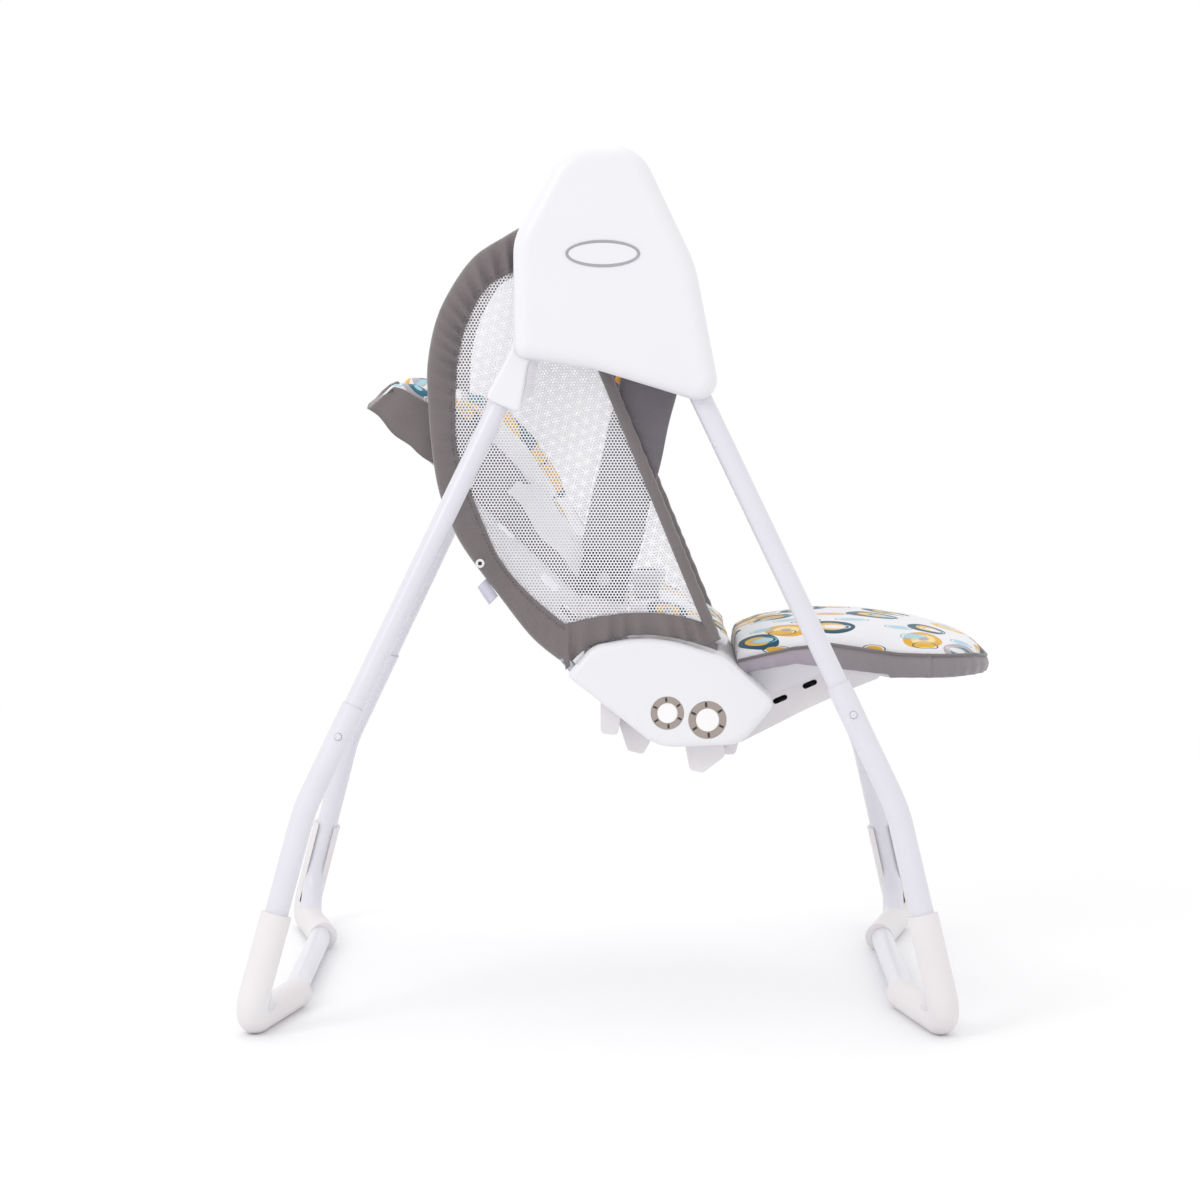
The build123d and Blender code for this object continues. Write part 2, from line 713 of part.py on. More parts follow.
def recline_handle():
    """The squeeze lever at the rear of the base that frees the reclining back."""
    blade = [(-26, 342), (-14, 350), (6, 326), (4, 316), (-6, 316), (-20, 328)]
    with BuildPart() as lever:
        with BuildSketch(upright(HANDLE_HALF)):
            add(outline(blade, [3, 3, 3, 4, 4, 6]))
        extrude(amount=2 * HANDLE_HALF)
        add(cylinder_y(HANDLE_X, HANDLE_Z, 5, -HANDLE_HALF, HANDLE_HALF))
        bore = HANDLE_PIN_RADIUS + 0.05
        add(cylinder_y(HANDLE_X, HANDLE_Z, bore, -HANDLE_HALF, HANDLE_HALF), mode=Mode.SUBTRACT)
    return lever.part


def handle_pin():
    reach = HANDLE_HALF + 4.5
    return cylinder_y(HANDLE_X, HANDLE_Z, HANDLE_PIN_RADIUS, -reach, reach)


def recline_slot():
    """The window in the rear of the base that the lever moves in."""
    window = [(-34, 346), (-8, 368), (20, 340), (16, 296), (-20, 312)]
    half = HANDLE_HALF + 1.5
    with BuildPart() as slot:
        with BuildSketch(upright(half)):
            add(outline(window, 2))
        extrude(amount=2 * half)
    return slot.part


def base_side_cover():
    depth = COVER_Y - BASE_HALF
    with BuildPart() as hollow:
        with BuildSketch(upright(-BASE_HALF)):
            add(outline(BASE_OUTLINE, BASE_CORNERS, -BASE_WALL))
        extrude(amount=depth - BASE_WALL)
        fillet(hollow.edges().group_by(Axis.Y)[0], 5)
    with BuildPart() as cover:
        with BuildSketch(upright(-BASE_HALF)):
            add(outline(BASE_OUTLINE, BASE_CORNERS))
        extrude(amount=depth)
        fillet(cover.edges().group_by(Axis.Y)[0], COVER_DOME - 4)
        add(hollow.part, mode=Mode.SUBTRACT)
        for foot in (WING_REAR_FOOT, WING_FRONT_FOOT):
            with BuildSketch(upright(-BASE_HALF)):
                with Locations(foot):
                    Circle(ROD_RADIUS + 6)
            extrude(amount=depth - BASE_WALL)
        with BuildSketch(upright(-BASE_HALF)):
            add(outline(BASE_OUTLINE, BASE_CORNERS))
        extrude(amount=depth, mode=Mode.INTERSECT)
        add(front_rod(), mode=Mode.SUBTRACT)
        add(rear_rod(), mode=Mode.SUBTRACT)
        for x, z, radius in DISCS:
            disc = cylinder_y(x, z, radius + 0.3, -COVER_Y, -COVER_Y + DISC_RECESS)
            add(disc, mode=Mode.SUBTRACT)
    return cover.part.solids().sort_by(SortBy.VOLUME)[-1]


def disc_caps():
    with BuildPart() as caps:
        for x, z, radius in DISCS:
            add(disc_cap(x, z, radius))
    return caps.part


def disc_cap(x, z, radius):
    """A round cap in the side cover: a flat ring with slots round a domed middle."""
    with BuildPart() as cap:
        add(cylinder_y(x, z, radius, -COVER_Y, -COVER_Y + DISC_RECESS))
        add(cylinder_y(x, z, radius * 0.62, -COVER_Y - 1.5, -COVER_Y))
        fillet(cap.edges().group_by(Axis.Y)[0], 1.2)
        with BuildSketch(upright(-COVER_Y + DISC_RECESS)):
            with Locations((x, z)):
                with PolarLocations(radius * 0.82, 6, start_angle=95):
                    Rectangle(radius * 0.26, radius * 0.13)
        extrude(amount=DISC_RECESS, mode=Mode.SUBTRACT)
    return cap.part


def base_feet():
    """Four moulded feet on each side under the base, which stand it on a table."""
    rear_foot = [(2, 322), (2, 284), (20, 282), (24, 310)]
    rear_heel = [(16, 306), (30, 262), (46, 258), (64, 290)]
    front_heel = [(86, 290), (94, 246), (108, 243), (130, 260), (128, 290)]
    front_foot = [(124, 290), (126, 258), (142, 258), (152, 296)]
    with BuildPart() as feet:
        for shape, low, high in ((rear_foot, -138, -109), (rear_heel, -108, -78),
                                 (front_heel, -138, -109), (front_foot, -108, -78)):
            with BuildSketch(upright(high)):
                add(outline(shape, 5))
            extrude(amount=high - low)
        with BuildSketch(upright(0)):
            add(outline(BASE_OUTLINE, BASE_CORNERS))
        extrude(amount=BASE_HALF, mode=Mode.SUBTRACT)
    return feet.part


def arm_blank(inset):
    with BuildPart() as blank:
        with BuildSketch(upright(ARM_HALF - inset)):
            add(outline(ARM_TOP + ARM_BOTTOM, [6, 40, 3, 30, 60, 6], -inset))
        extrude(amount=2 * (ARM_HALF - inset))
    return blank.part


def front_arm(upper):
    """The channel that carries the leg rest, parted along its sloping seam."""
    drop = 200.0 if upper else -200.0
    (x0, z0), (x1, z1) = ARM_SEAM
    half_space = [(x0, z0), (x1, z1), (x1, z1 + drop), (x0, z0 + drop)]
    with BuildPart() as arm:
        add(arm_blank(0))
        add(arm_blank(ARM_WALL), mode=Mode.SUBTRACT)
        with BuildSketch(upright(ARM_HALF)):
            add(outline(BASE_OUTLINE, BASE_CORNERS))
        extrude(amount=2 * ARM_HALF, mode=Mode.SUBTRACT)
        with BuildSketch(upright(ARM_HALF)):
            with BuildLine():
                Polyline(*half_space, close=True)
            make_face()
        extrude(amount=2 * ARM_HALF, mode=Mode.INTERSECT)
        if not upper:
            for x, z in ((190, 312), (221, 328)):
                with BuildSketch(upright(ARM_HALF)):
                    with Locations(Location((x, z, 0), (0, 0, 23))):
                        SlotOverall(16, 6)
                extrude(amount=2 * ARM_HALF, mode=Mode.SUBTRACT)
    return arm.part.solids().sort_by(SortBy.VOLUME)[-1]


def shell_line(rise):
    """The line along the top of the arm and on to the front end of the leg rest."""
    return [(ARM_TOP[0][0] + 10, ARM_TOP[0][1] + 2 + rise), (ARM_TOP[1][0], ARM_TOP[1][1] + rise),
            (ARM_TOP[2][0], ARM_TOP[2][1] + rise), (LEG_REST_END, ARM_TOP[2][1] - 1 + rise)]


def leg_rest_shell():
    section = shell_line(0.2) + list(reversed(shell_line(LEG_REST_SKIN)))
    with BuildPart() as shell:
        with BuildSketch(upright(LEG_REST_HALF)):
            with BuildLine():
                Polyline(*section, close=True)
            make_face()
        extrude(amount=2 * LEG_REST_HALF)
        front = shell.edges().filter_by(Axis.Z).group_by(Axis.X)[-1]
        fillet(front, SHELL_CORNER)
    return shell.part


def leg_rest_pad():
    under = shell_line(LEG_REST_SKIN + PAD_GAP)
    end = LEG_PAD_FRONT
    section = [(145, 368)] + under + [(end - 6, 346), (end, 352), (end - 20, 371), (end - 74, 386),
                                      (280, 396), (233, 396), (174, 388)]
    with BuildPart() as pad:
        with BuildSketch(upright(LEG_PAD_HALF)):
            with BuildLine():
                Polyline(*section, close=True)
            make_face()
        extrude(amount=2 * LEG_PAD_HALF)
        with BuildSketch(Plane.XY) as plan:
            with Locations((LEG_PAD_FRONT, 0)):
                Rectangle(LEG_PAD_FRONT, 2 * LEG_PAD_HALF, align=(Align.MAX, Align.CENTER))
            fillet(plan.vertices().group_by(Axis.X)[-1], LEG_PAD_CORNER)
        extrude(amount=FRONT_LEG_TOP, mode=Mode.INTERSECT)
    return pad.part


def seat_pad():
    section = [(26, 374), (138, 352), (141, 384), (122, 414), (60, SEAT_TOP), (26, SEAT_TOP)]
    with BuildPart() as pad:
        with BuildSketch(upright(SEAT_PAD_HALF)):
            add(outline(section, [4, 4, 12, 18, 30, 10]))
            add(outline(BASE_OUTLINE, BASE_CORNERS, PAD_GAP), mode=Mode.SUBTRACT)
        extrude(amount=2 * SEAT_PAD_HALF)
    return pad.part.solids().sort_by(SortBy.VOLUME)[-1]


# ---- reclining back ----

def back_plane(y):
    """The vertical plane at that y, turned so that its x runs up the back and its y
    points towards the child; what is drawn on it is extruded towards +Y."""
    angle = math.radians(RECLINE)
    along = Vector(-math.cos(angle), 0, math.sin(angle))
    return Plane(origin=(BACK_HINGE_X, y, BACK_HINGE_Z), x_dir=along, z_dir=(0, 1, 0))


def back_sheet(points, low, high, corners=0.0):
    """A slab between two y values; its outline is drawn in u and n."""
    with BuildPart() as sheet:
        with BuildSketch(back_plane(low)):
            add(outline(points, corners))
        extrude(amount=high - low)
    return sheet.part


def back_shell():
    """The moulded bucket behind the back pad: a pan with a slotted wall on each side."""
    wall = [(-10, -8), (16, -36), (100, -42), (150, -34), (190, -10), (205, 12),
            (151, 57), (100, 50), (24, 30), (-8, 10)]
    rib = [(13, 12), (20, 34), (168, 49), (168, 25)]
    slots = [(171, 8), (142, 2), (73, -8), (37, -18)]
    with BuildPart() as shell:
        add(back_sheet([(10, PAN_N - 3), (BACK_LENGTH, PAN_N - 3), (BACK_LENGTH, PAN_N), (10, PAN_N)],
                       -BACK_HALF, BACK_HALF, 1.2))
        for side in (-1, 1):
            low, high = sorted((side * BACK_HALF, side * (BACK_HALF - BACK_WALL)))
            add(back_sheet(wall, low, high, 5))
            low, high = sorted((side * BACK_HALF, side * (BACK_HALF + 1.8)))
            add(back_sheet(rib, low, high, 4))
        for u, n in slots:
            slot = [(u - 11, n - 4), (u + 11, n - 4), (u + 11, n + 4), (u - 11, n + 4)]
            add(back_sheet(slot, -BACK_HALF - 5, BACK_HALF + 5, 3.9), mode=Mode.SUBTRACT)
        add(cylinder_y(BACK_HINGE_X, BACK_HINGE_Z, BACK_PIN_RADIUS + 0.05, -200, 200), mode=Mode.SUBTRACT)
    return shell.part


def back_pad():
    """The padded liner of the back: a flat middle and a raised bolster along each edge."""
    flat = [(14, PAN_N + 0.3), (BACK_LENGTH + 8, PAN_N + 0.3), (344, 18), (300, 30), (26, 26)]
    bolster = [(14, PAN_N + 0.3), (BACK_LENGTH + 8, PAN_N + 0.3), (345, 20), (296, 46), (255, 82),
               (228, 88), (182, 87), (137, 76), (91, 55), (24, 33)]
    inner = BACK_HALF - BACK_WALL - 0.6
    with BuildPart() as pad:
        add(back_sheet(flat, -inner, inner, 3))
        add(back_sheet(bolster, -inner, -inner + BOLSTER_WIDTH, 4))
        add(back_sheet(bolster, inner - BOLSTER_WIDTH, inner, 4))
    return pad.part


def head_support():
    pillow = [(205, 29), (318, 31), (318, 44), (290, 56), (230, 56), (205, 46)]
    inner = BACK_HALF - BACK_WALL - 0.6 - BOLSTER_WIDTH - 1
    return back_sheet(pillow, -inner, inner, 5)


def lap_straps():
    """Two lap straps and the crotch strap, lying on the seat pad under the buckle."""
    half = BUCKLE_WIDTH / 2
    with BuildPart() as straps:
        with BuildSketch(Plane.XY.offset(SEAT_TOP + STRAP_GAP)):
            for side in (-1, 1):
                with Locations((BUCKLE_X, side * (LAP_REACH + half) / 2)):
                    Rectangle(STRAP_WIDTH, LAP_REACH - half)
            with Locations((BUCKLE_X, 0)):
                Rectangle(BUCKLE_LENGTH - 10, STRAP_WIDTH)
        extrude(amount=STRAP_THICK)
    return straps.part


def buckle():
    """The moulded buckle in the middle of the lap straps, with a well for its button."""
    low = SEAT_TOP + STRAP_THICK + 2 * STRAP_GAP
    well = BUTTON_SIDE + 2 * BUTTON_FIT
    with BuildPart() as body:
        with BuildSketch(Plane.XY.offset(low)):
            with Locations((BUCKLE_X, 0)):
                RectangleRounded(BUCKLE_LENGTH, BUCKLE_WIDTH, 8)
        extrude(amount=BUCKLE_HEIGHT)
        fillet(body.edges().group_by(Axis.Z)[-1], 3)
        with BuildSketch(Plane.XY.offset(low + BUCKLE_FLOOR)):
            with Locations((BUCKLE_X, 0)):
                RectangleRounded(well, well, 4 + BUTTON_FIT)
        extrude(amount=BUCKLE_HEIGHT, mode=Mode.SUBTRACT)
    return body.part


def buckle_button():
    low = SEAT_TOP + STRAP_THICK + 2 * STRAP_GAP + BUCKLE_FLOOR + BUCKLE_TRAVEL
    with BuildPart() as button:
        with BuildSketch(Plane.XY.offset(low)):
            with Locations((BUCKLE_X, 0)):
                RectangleRounded(BUTTON_SIDE, BUTTON_SIDE, 4)
        extrude(amount=BUCKLE_HEIGHT - BUCKLE_FLOOR - BUCKLE_TRAVEL + 1)
        fillet(button.edges().group_by(Axis.Z)[-1], 1)
    return button.part


def shoulder_straps():
    strap = [(40, 26.5), (196, 28.8), (196, 30.8), (40, 28.5)]
    with BuildPart() as straps:
        for centre in (-SHOULDER_Y, SHOULDER_Y):
            add(back_sheet(strap, centre - STRAP_WIDTH / 2, centre + STRAP_WIDTH / 2, 0.3))
    return straps.part


# ---- toy bar ----

def toy_socket():
    """A moulded post on the seat base that carries one end of the toy bar."""
    post = [(TOY_PIVOT_X - 20, 360), (TOY_PIVOT_X - 22, 424), (TOY_PIVOT_X - 13, TOY_PIVOT_Z + 13),
            (TOY_PIVOT_X + 13, TOY_PIVOT_Z + 13), (TOY_PIVOT_X + 24, 424), (TOY_PIVOT_X + 26, 360)]
    leg_low = TOY_BAR_Y - TOY_BAR_THICK - 0.4
    with BuildPart() as socket:
        with BuildSketch(upright(-leg_low + 4)):
            add(outline(post, [2, 10, 12, 12, 10, 2]))
        extrude(amount=4)
        with BuildSketch(upright(-leg_low)):
            add(outline(post, [2, 10, 12, 12, 10, 2]))
            with Locations((TOY_PIVOT_X, TOY_PIVOT_Z + 60)):
                Circle(95, mode=Mode.SUBTRACT)
        extrude(amount=TOY_BAR_THICK)
        with BuildSketch(upright(0)):
            add(outline(BASE_OUTLINE, BASE_CORNERS))
        extrude(amount=200, mode=Mode.SUBTRACT)
        add(toy_pin(), mode=Mode.SUBTRACT)
    return socket.part.solids().sort_by(SortBy.VOLUME)[-1]


def toy_pin():
    leg_low = TOY_BAR_Y - TOY_BAR_THICK - 0.4
    with BuildPart() as pin:
        add(cylinder_y(TOY_PIVOT_X, TOY_PIVOT_Z, TOY_PIN_RADIUS, -TOY_BAR_Y - 0.2, -leg_low + 4))
        add(cylinder_y(TOY_PIVOT_X, TOY_PIVOT_Z, TOY_PIN_RADIUS + 3, -TOY_BAR_Y - 1.7, -TOY_BAR_Y - 0.2))
    return pin.part


def toy_bar():
    lean = math.radians(TOY_LEAN)
    up = Vector(math.sin(lean), 0, math.cos(lean))
    across = Plane(origin=(TOY_PIVOT_X, 0, TOY_PIVOT_Z), x_dir=(0, 1, 0), z_dir=Vector(0, 1, 0).cross(up))
    low = -20.0
    outer = TOY_BAR_Y
    inner = TOY_BAR_Y - TOY_BAR_THICK
    with BuildPart() as bar:
        with BuildSketch(across):
            add(outline([(-outer, low), (outer, low), (outer, TOY_BAR_HEIGHT), (-outer, TOY_BAR_HEIGHT)],
                        [0.1, 0.1, TOY_BAR_BEND, TOY_BAR_BEND]))
            add(outline([(-inner, low - 20), (inner, low - 20), (inner, TOY_BAR_HEIGHT - TOY_BAR_THICK),
                         (-inner, TOY_BAR_HEIGHT - TOY_BAR_THICK)],
                        [0.1, 0.1, TOY_BAR_BEND - TOY_BAR_THICK, TOY_BAR_BEND - TOY_BAR_THICK]),
                mode=Mode.SUBTRACT)
        extrude(amount=TOY_BAR_WIDTH / 2, both=True)
        hole = cylinder_y(TOY_PIVOT_X, TOY_PIVOT_Z, TOY_PIN_RADIUS + 0.05, -200, 200)
        add(hole, mode=Mode.SUBTRACT)
    return bar.part


def toy_hang_point(y):
    """Where a toy's cord hangs, just under the toy bar and near its rear edge."""
    lean = math.radians(TOY_LEAN)
    under = TOY_BAR_HEIGHT - TOY_BAR_THICK
    middle_x = TOY_PIVOT_X + under * math.sin(lean)
    middle_z = TOY_PIVOT_Z + under * math.cos(lean)
    level = middle_z + (middle_x - TOY_HANG_X) * math.tan(lean)
    return Vector(TOY_HANG_X, y, level - TOY_CORD - 0.4)


def toy(y):
    """A soft toy on a short cord; the knot at the cord's top is where it swings."""
    top = toy_hang_point(y)
    with BuildPart() as body:
        with Locations(top):
            Sphere(TOY_CORD)
        with Locations(top - Vector(0, 0, TOY_DROP / 2)):
            Cylinder(TOY_CORD, TOY_DROP)
        with Locations(top - Vector(0, 0, TOY_DROP + TOY_RADIUS - 2)):
            Sphere(TOY_RADIUS)
    return body.part


# ---- build and write every piece ----

# The rear feet and the pad of the leg rest are the two ends of the overall length.
rear_cap = foot_cap(False, base_tube(False)[1])
centre_x = (LEG_PAD_FRONT + rear_cap.bounding_box().min.X) / 2

save_pair(upper_leg(True), "front_upper_legs")
save_pair(upper_leg(False), "rear_upper_legs")
for is_front, place in ((True, "front"), (False, "rear")):
    tube, tube_line = base_tube(is_front)
    save(tube, place + "_base_tube")
    save_pair(foot_cap(is_front, tube_line), place + "_foot_caps")
    save_sides(snap_button(is_front), place + "_snap_button")
save_pair(rear_socket(), "rear_sockets")

save(hub_outer_cover(), "hub_outer_cover_right")
save(left_outer_cover(), "hub_outer_cover_left")
save_sides(hub_inner_cover(), "hub_inner_cover")
save_pair(screws(), "hub_screws")
save_pair(fold_pin(), "fold_pins")
save_pair(bushes(), "swing_bushes")

save(motor(), "motor")
save(motor_bracket(), "motor_bracket")
save(gear(GEAR_X, GEAR_Z, GEAR_TEETH, GEAR_AXLE + 0.05), "drive_gear")
save(gear(GEAR_X, pinion_height(), PINION_TEETH, 2.05), "motor_pinion")
save(control_panel(), "control_panel")
save(speed_dial(), "speed_dial")
save(power_button(), "power_button")
save(power_jack(), "power_jack")
save(badge(), "hub_badge")

save_pair(cylinder_y(PIVOT_X, PIVOT_Z, SHAFT_RADIUS, -SHAFT_OUTER_Y, -SHAFT_INNER_Y), "swing_shafts")
save_pair(hanger_bracket(), "hanger_brackets")
save_pair(rear_rod(), "wing_rear_rods")
save_pair(front_rod(), "wing_front_rods")
save_sides(wing_panel(), "side_wing")
save(base_shell(), "seat_base_shell")
save_sides(base_side_cover(), "base_side_cover")
save_pair(disc_caps(), "side_caps")
save_pair(hinge_pin(), "back_hinge_pins")
save(recline_handle(), "recline_handle")
save(handle_pin(), "recline_handle_pin")
save_pair(base_feet(), "base_feet")
save(front_arm(False), "front_arm")
save(front_arm(True), "front_arm_cover")
save(leg_rest_shell(), "leg_rest_shell")
save(leg_rest_pad(), "leg_rest_pad")
save(seat_pad(), "seat_pad")
save(back_shell(), "back_shell")
save(back_pad(), "back_pad")
save(head_support(), "head_support")
save(shoulder_straps(), "shoulder_straps")
save(lap_straps(), "lap_straps")
save(buckle(), "buckle")
save(buckle_button(), "buckle_button")
save_pair(toy_socket(), "toy_bar_sockets")
save_pair(toy_pin(), "toy_bar_pins")
save(toy_bar(), "toy_bar")
for toy_name, toy_y in TOYS.items():
    save(toy(toy_y), toy_name)
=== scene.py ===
import json
import math

import bmesh
import bpy
import numpy as np
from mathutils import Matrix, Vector
from mathutils.bvhtree import BVHTree


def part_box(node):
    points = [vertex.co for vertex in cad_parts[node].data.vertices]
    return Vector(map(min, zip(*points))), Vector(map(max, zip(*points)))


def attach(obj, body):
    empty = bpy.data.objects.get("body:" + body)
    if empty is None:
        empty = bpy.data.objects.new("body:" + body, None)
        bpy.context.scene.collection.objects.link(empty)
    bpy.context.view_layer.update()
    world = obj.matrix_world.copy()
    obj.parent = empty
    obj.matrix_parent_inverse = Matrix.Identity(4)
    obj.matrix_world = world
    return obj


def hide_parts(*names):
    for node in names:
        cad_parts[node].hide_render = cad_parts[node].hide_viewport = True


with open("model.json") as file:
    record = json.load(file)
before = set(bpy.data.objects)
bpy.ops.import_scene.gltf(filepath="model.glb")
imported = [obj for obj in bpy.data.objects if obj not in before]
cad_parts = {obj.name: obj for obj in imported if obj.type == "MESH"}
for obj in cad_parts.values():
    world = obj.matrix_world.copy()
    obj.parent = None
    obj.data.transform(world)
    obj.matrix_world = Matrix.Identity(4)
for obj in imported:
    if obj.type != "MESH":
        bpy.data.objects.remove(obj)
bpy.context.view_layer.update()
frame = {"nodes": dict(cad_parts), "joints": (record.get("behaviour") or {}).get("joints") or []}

# The studio: a floor of pale paper that fades into a white room, lit by three large soft boxes.
# Paper scatters light evenly, so the floor is matte and only shows a faint contact shadow.

MIDDLE_X = (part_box("front_foot_caps")[1].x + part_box("rear_foot_caps")[0].x) / 2
MM = 0.001


def spot(x, y, z):
    """A point in metres, from millimetres measured from the middle between the four feet."""
    return Vector((MIDDLE_X + x * MM, y * MM, z * MM))


def linear(hex_colour):
    """An sRGB hex colour as linear red, green, blue and alpha."""
    parts = [int(hex_colour[i:i + 2], 16) / 255 for i in (1, 3, 5)]
    low = [c / 12.92 if c <= 0.04045 else ((c + 0.055) / 1.055) ** 2.4 for c in parts]
    return (*low, 1.0)


def node(tree, kind, links=(), **settings):
    """Adds a node to a material, with its settings and its inputs, which are links or values."""
    made = tree.nodes.new(kind)
    for key, value in settings.items():
        setattr(made, key, value)
    for key, value in dict(links).items():
        if isinstance(value, bpy.types.NodeSocket):
            tree.links.new(value, made.inputs[key])
        else:
            made.inputs[key].default_value = value
    return made


def surface(name, colour, roughness, **sockets):
    """A new material with its shader; sockets are values set on the shader itself."""
    made = bpy.data.materials.new(name)
    made.use_nodes = True
    shader = made.node_tree.nodes["Principled BSDF"]
    shader.inputs["Base Color"].default_value = linear(colour)
    shader.inputs["Roughness"].default_value = roughness
    for key, value in sockets.items():
        shader.inputs[key.replace("_", " ")].default_value = value
    return made, made.node_tree, shader


FLOOR_SIZE = 60.0
PAPER_GRAINS = 120.0    # to a metre
CLEAR_RADIUS = 1.1      # metres of floor that take a shadow, before it fades into the white room
FADE_RADIUS = 2.6

paper, tree, shader = surface("studio_paper", "#F6F6F7", 0.9)
place = node(tree, "ShaderNodeTexCoord").outputs["Object"]
grain = node(tree, "ShaderNodeTexNoise", {"Vector": place, "Scale": PAPER_GRAINS, "Detail": 3.0})
bump = node(tree, "ShaderNodeBump", {"Height": grain.outputs["Fac"], "Strength": 0.03})
tree.links.new(bump.outputs["Normal"], shader.inputs["Normal"])
away = node(tree, "ShaderNodeVectorMath", {0: place}, operation="LENGTH")
fade = node(tree, "ShaderNodeMapRange", {"Value": away.outputs["Value"], "From Min": CLEAR_RADIUS,
                                         "From Max": FADE_RADIUS}, interpolation_type="SMOOTHSTEP")
glow = node(tree, "ShaderNodeEmission", {"Color": (1.0, 1.0, 1.0, 1.0), "Strength": 1.0})
blend = node(tree, "ShaderNodeMixShader", {0: fade.outputs["Result"], 1: shader.outputs["BSDF"],
                                           2: glow.outputs["Emission"]})
tree.links.new(blend.outputs["Shader"], tree.nodes["Material Output"].inputs["Surface"])
bpy.ops.mesh.primitive_plane_add(size=FLOOR_SIZE, location=(0, 0, 0))
floor = bpy.context.object
floor.name = "studio_floor"
floor.data.materials.append(paper)

world = bpy.data.worlds.new("soft_room")
world.use_nodes = True
world.node_tree.nodes["Background"].inputs["Color"].default_value = linear("#FFFFFF")
world.node_tree.nodes["Background"].inputs["Strength"].default_value = 1.0
bpy.context.scene.world = world
bpy.context.scene.view_settings.view_transform = "Standard"

# for each lamp: where it hangs in metres, the width of its box in metres, and its power in watts
LAMPS = {
    "key_softbox": ((-1.9, -2.3, 2.2), 1.1, 17.0),
    "top_softbox": ((-0.2, 0.3, 2.6), 1.6, 6.0),
    "rear_softbox": ((-0.8, 2.6, 1.6), 1.6, 4.0),
}
LAMP_AIM = Vector((0, 0, 0.45))
for lamp_name, (lamp_place, lamp_size, lamp_power) in LAMPS.items():
    lamp = bpy.data.lights.new(lamp_name, "AREA")
    lamp.size = lamp_size
    lamp.energy = lamp_power
    holder = bpy.data.objects.new(lamp_name, lamp)
    holder.location = lamp_place
    aim = LAMP_AIM - Vector(lamp_place)
    holder.rotation_euler = aim.to_track_quat("-Z", "Y").to_euler()
    bpy.context.scene.collection.objects.link(holder)

CAMERA_PLACE = (32.0, -3600.0, 745.0)
CAMERA_DOWN = 5.3243    # degrees below level
CAMERA_LEFT = 0.5085    # degrees to the left of straight ahead

camera = bpy.data.cameras.new("camera")
camera.lens = 101.4
camera.sensor_width = 36.0
viewer = bpy.data.objects.new("camera", camera)
viewer.location = spot(*CAMERA_PLACE)
viewer.rotation_euler = (math.radians(90 - CAMERA_DOWN), 0, math.radians(CAMERA_LEFT))
bpy.context.scene.collection.objects.link(viewer)
bpy.context.scene.camera = viewer


# Legs: bent steel tube, powder coated in cool white after welding and drilling.
# Powder flows into a faint orange peel, which breaks up long highlights on the tubes.
# The snap buttons that lock the tubes together are coated with them.

PEEL_MM = 7.0


def bumped(tree, shader, height, strength, distance):
    """Feeds a height into the shader's normal; distance is the relief in metres."""
    made = node(tree, "ShaderNodeBump", {"Height": height, "Strength": strength, "Distance": distance})
    tree.links.new(made.outputs["Normal"], shader.inputs["Normal"])


def speckled(tree, shader, colour, shift, pitch_mm):
    """Moves the base colour a little towards another one, in soft patches of that pitch."""
    here = node(tree, "ShaderNodeTexCoord").outputs["Object"]
    patches = node(tree, "ShaderNodeTexNoise", {"Vector": here, "Scale": 1000 / pitch_mm, "Detail": 4.0})
    mixed = node(tree, "ShaderNodeMix", {"Factor": patches.outputs["Fac"], "A": linear(colour),
                                         "B": linear(shift)}, data_type="RGBA")
    tree.links.new(mixed.outputs["Result"], shader.inputs["Base Color"])
    return here


def dress(material, *names):
    """Gives CAD nodes a material."""
    for name in names:
        mesh = frame["nodes"][name].data
        mesh.materials.clear()
        mesh.materials.append(material)


powder, tree, shader = surface("powder_coated_steel", "#DCDBE2", 0.32, Coat_Weight=0.2, Coat_Roughness=0.2)
here = speckled(tree, shader, "#DFDEE5", "#D8D7DF", pitch_mm=60.0)
peel = node(tree, "ShaderNodeTexNoise", {"Vector": here, "Scale": 1000 / PEEL_MM, "Detail": 2.0})
bumped(tree, shader, peel.outputs["Fac"], strength=0.05, distance=0.0001)
dress(powder, "front_upper_legs", "rear_upper_legs", "front_base_tube", "rear_base_tube",
      "front_snap_button_right", "front_snap_button_left", "rear_snap_button_right",
      "rear_snap_button_left")


# Hubs, base covers and shells: injection-moulded polypropylene in white.
# The tools are spark finished, so the gloss is satin with a very fine even grain.

SPARK_MM = 0.9


def moulded(name, colour, shift, roughness, grain_mm, relief):
    """Moulded plastic of two close tones, with a grain of that size that stands out that much."""
    made, tree, shader = surface(name, colour, roughness)
    here = speckled(tree, shader, colour, shift, pitch_mm=90.0)
    grain = node(tree, "ShaderNodeTexNoise", {"Vector": here, "Scale": 1000 / grain_mm, "Detail": 3.0})
    bumped(tree, shader, grain.outputs["Fac"], strength=relief, distance=0.0002)
    return made


white_shell = moulded("satin_polypropylene", "#E9E8EC", "#E5E4E8", 0.36, SPARK_MM, 0.06)
white_trim = moulded("moulded_polypropylene", "#E4E1E4", "#DDD9DC", 0.44, SPARK_MM, 0.08)
dress(white_shell, "hub_outer_cover_right", "hub_outer_cover_left", "hub_inner_cover_right",
      "hub_inner_cover_left", "rear_sockets", "seat_base_shell", "front_arm_cover", "leg_rest_shell",
      "back_shell")
dress(white_trim, "base_feet", "front_arm", "toy_bar_sockets", "speed_dial", "power_button")


# Foot caps: moulded in a softer, warmer white than the tubes, with a matte grip surface.
# The grain is coarser than on the hubs, drawn at 1.4 mm because the real one would not show.

cap_white = moulded("matte_cap_plastic", "#E8E5E6", "#E0DBDD", 0.55, 1.4, 0.14)
dress(cap_white, "front_foot_caps", "rear_foot_caps")


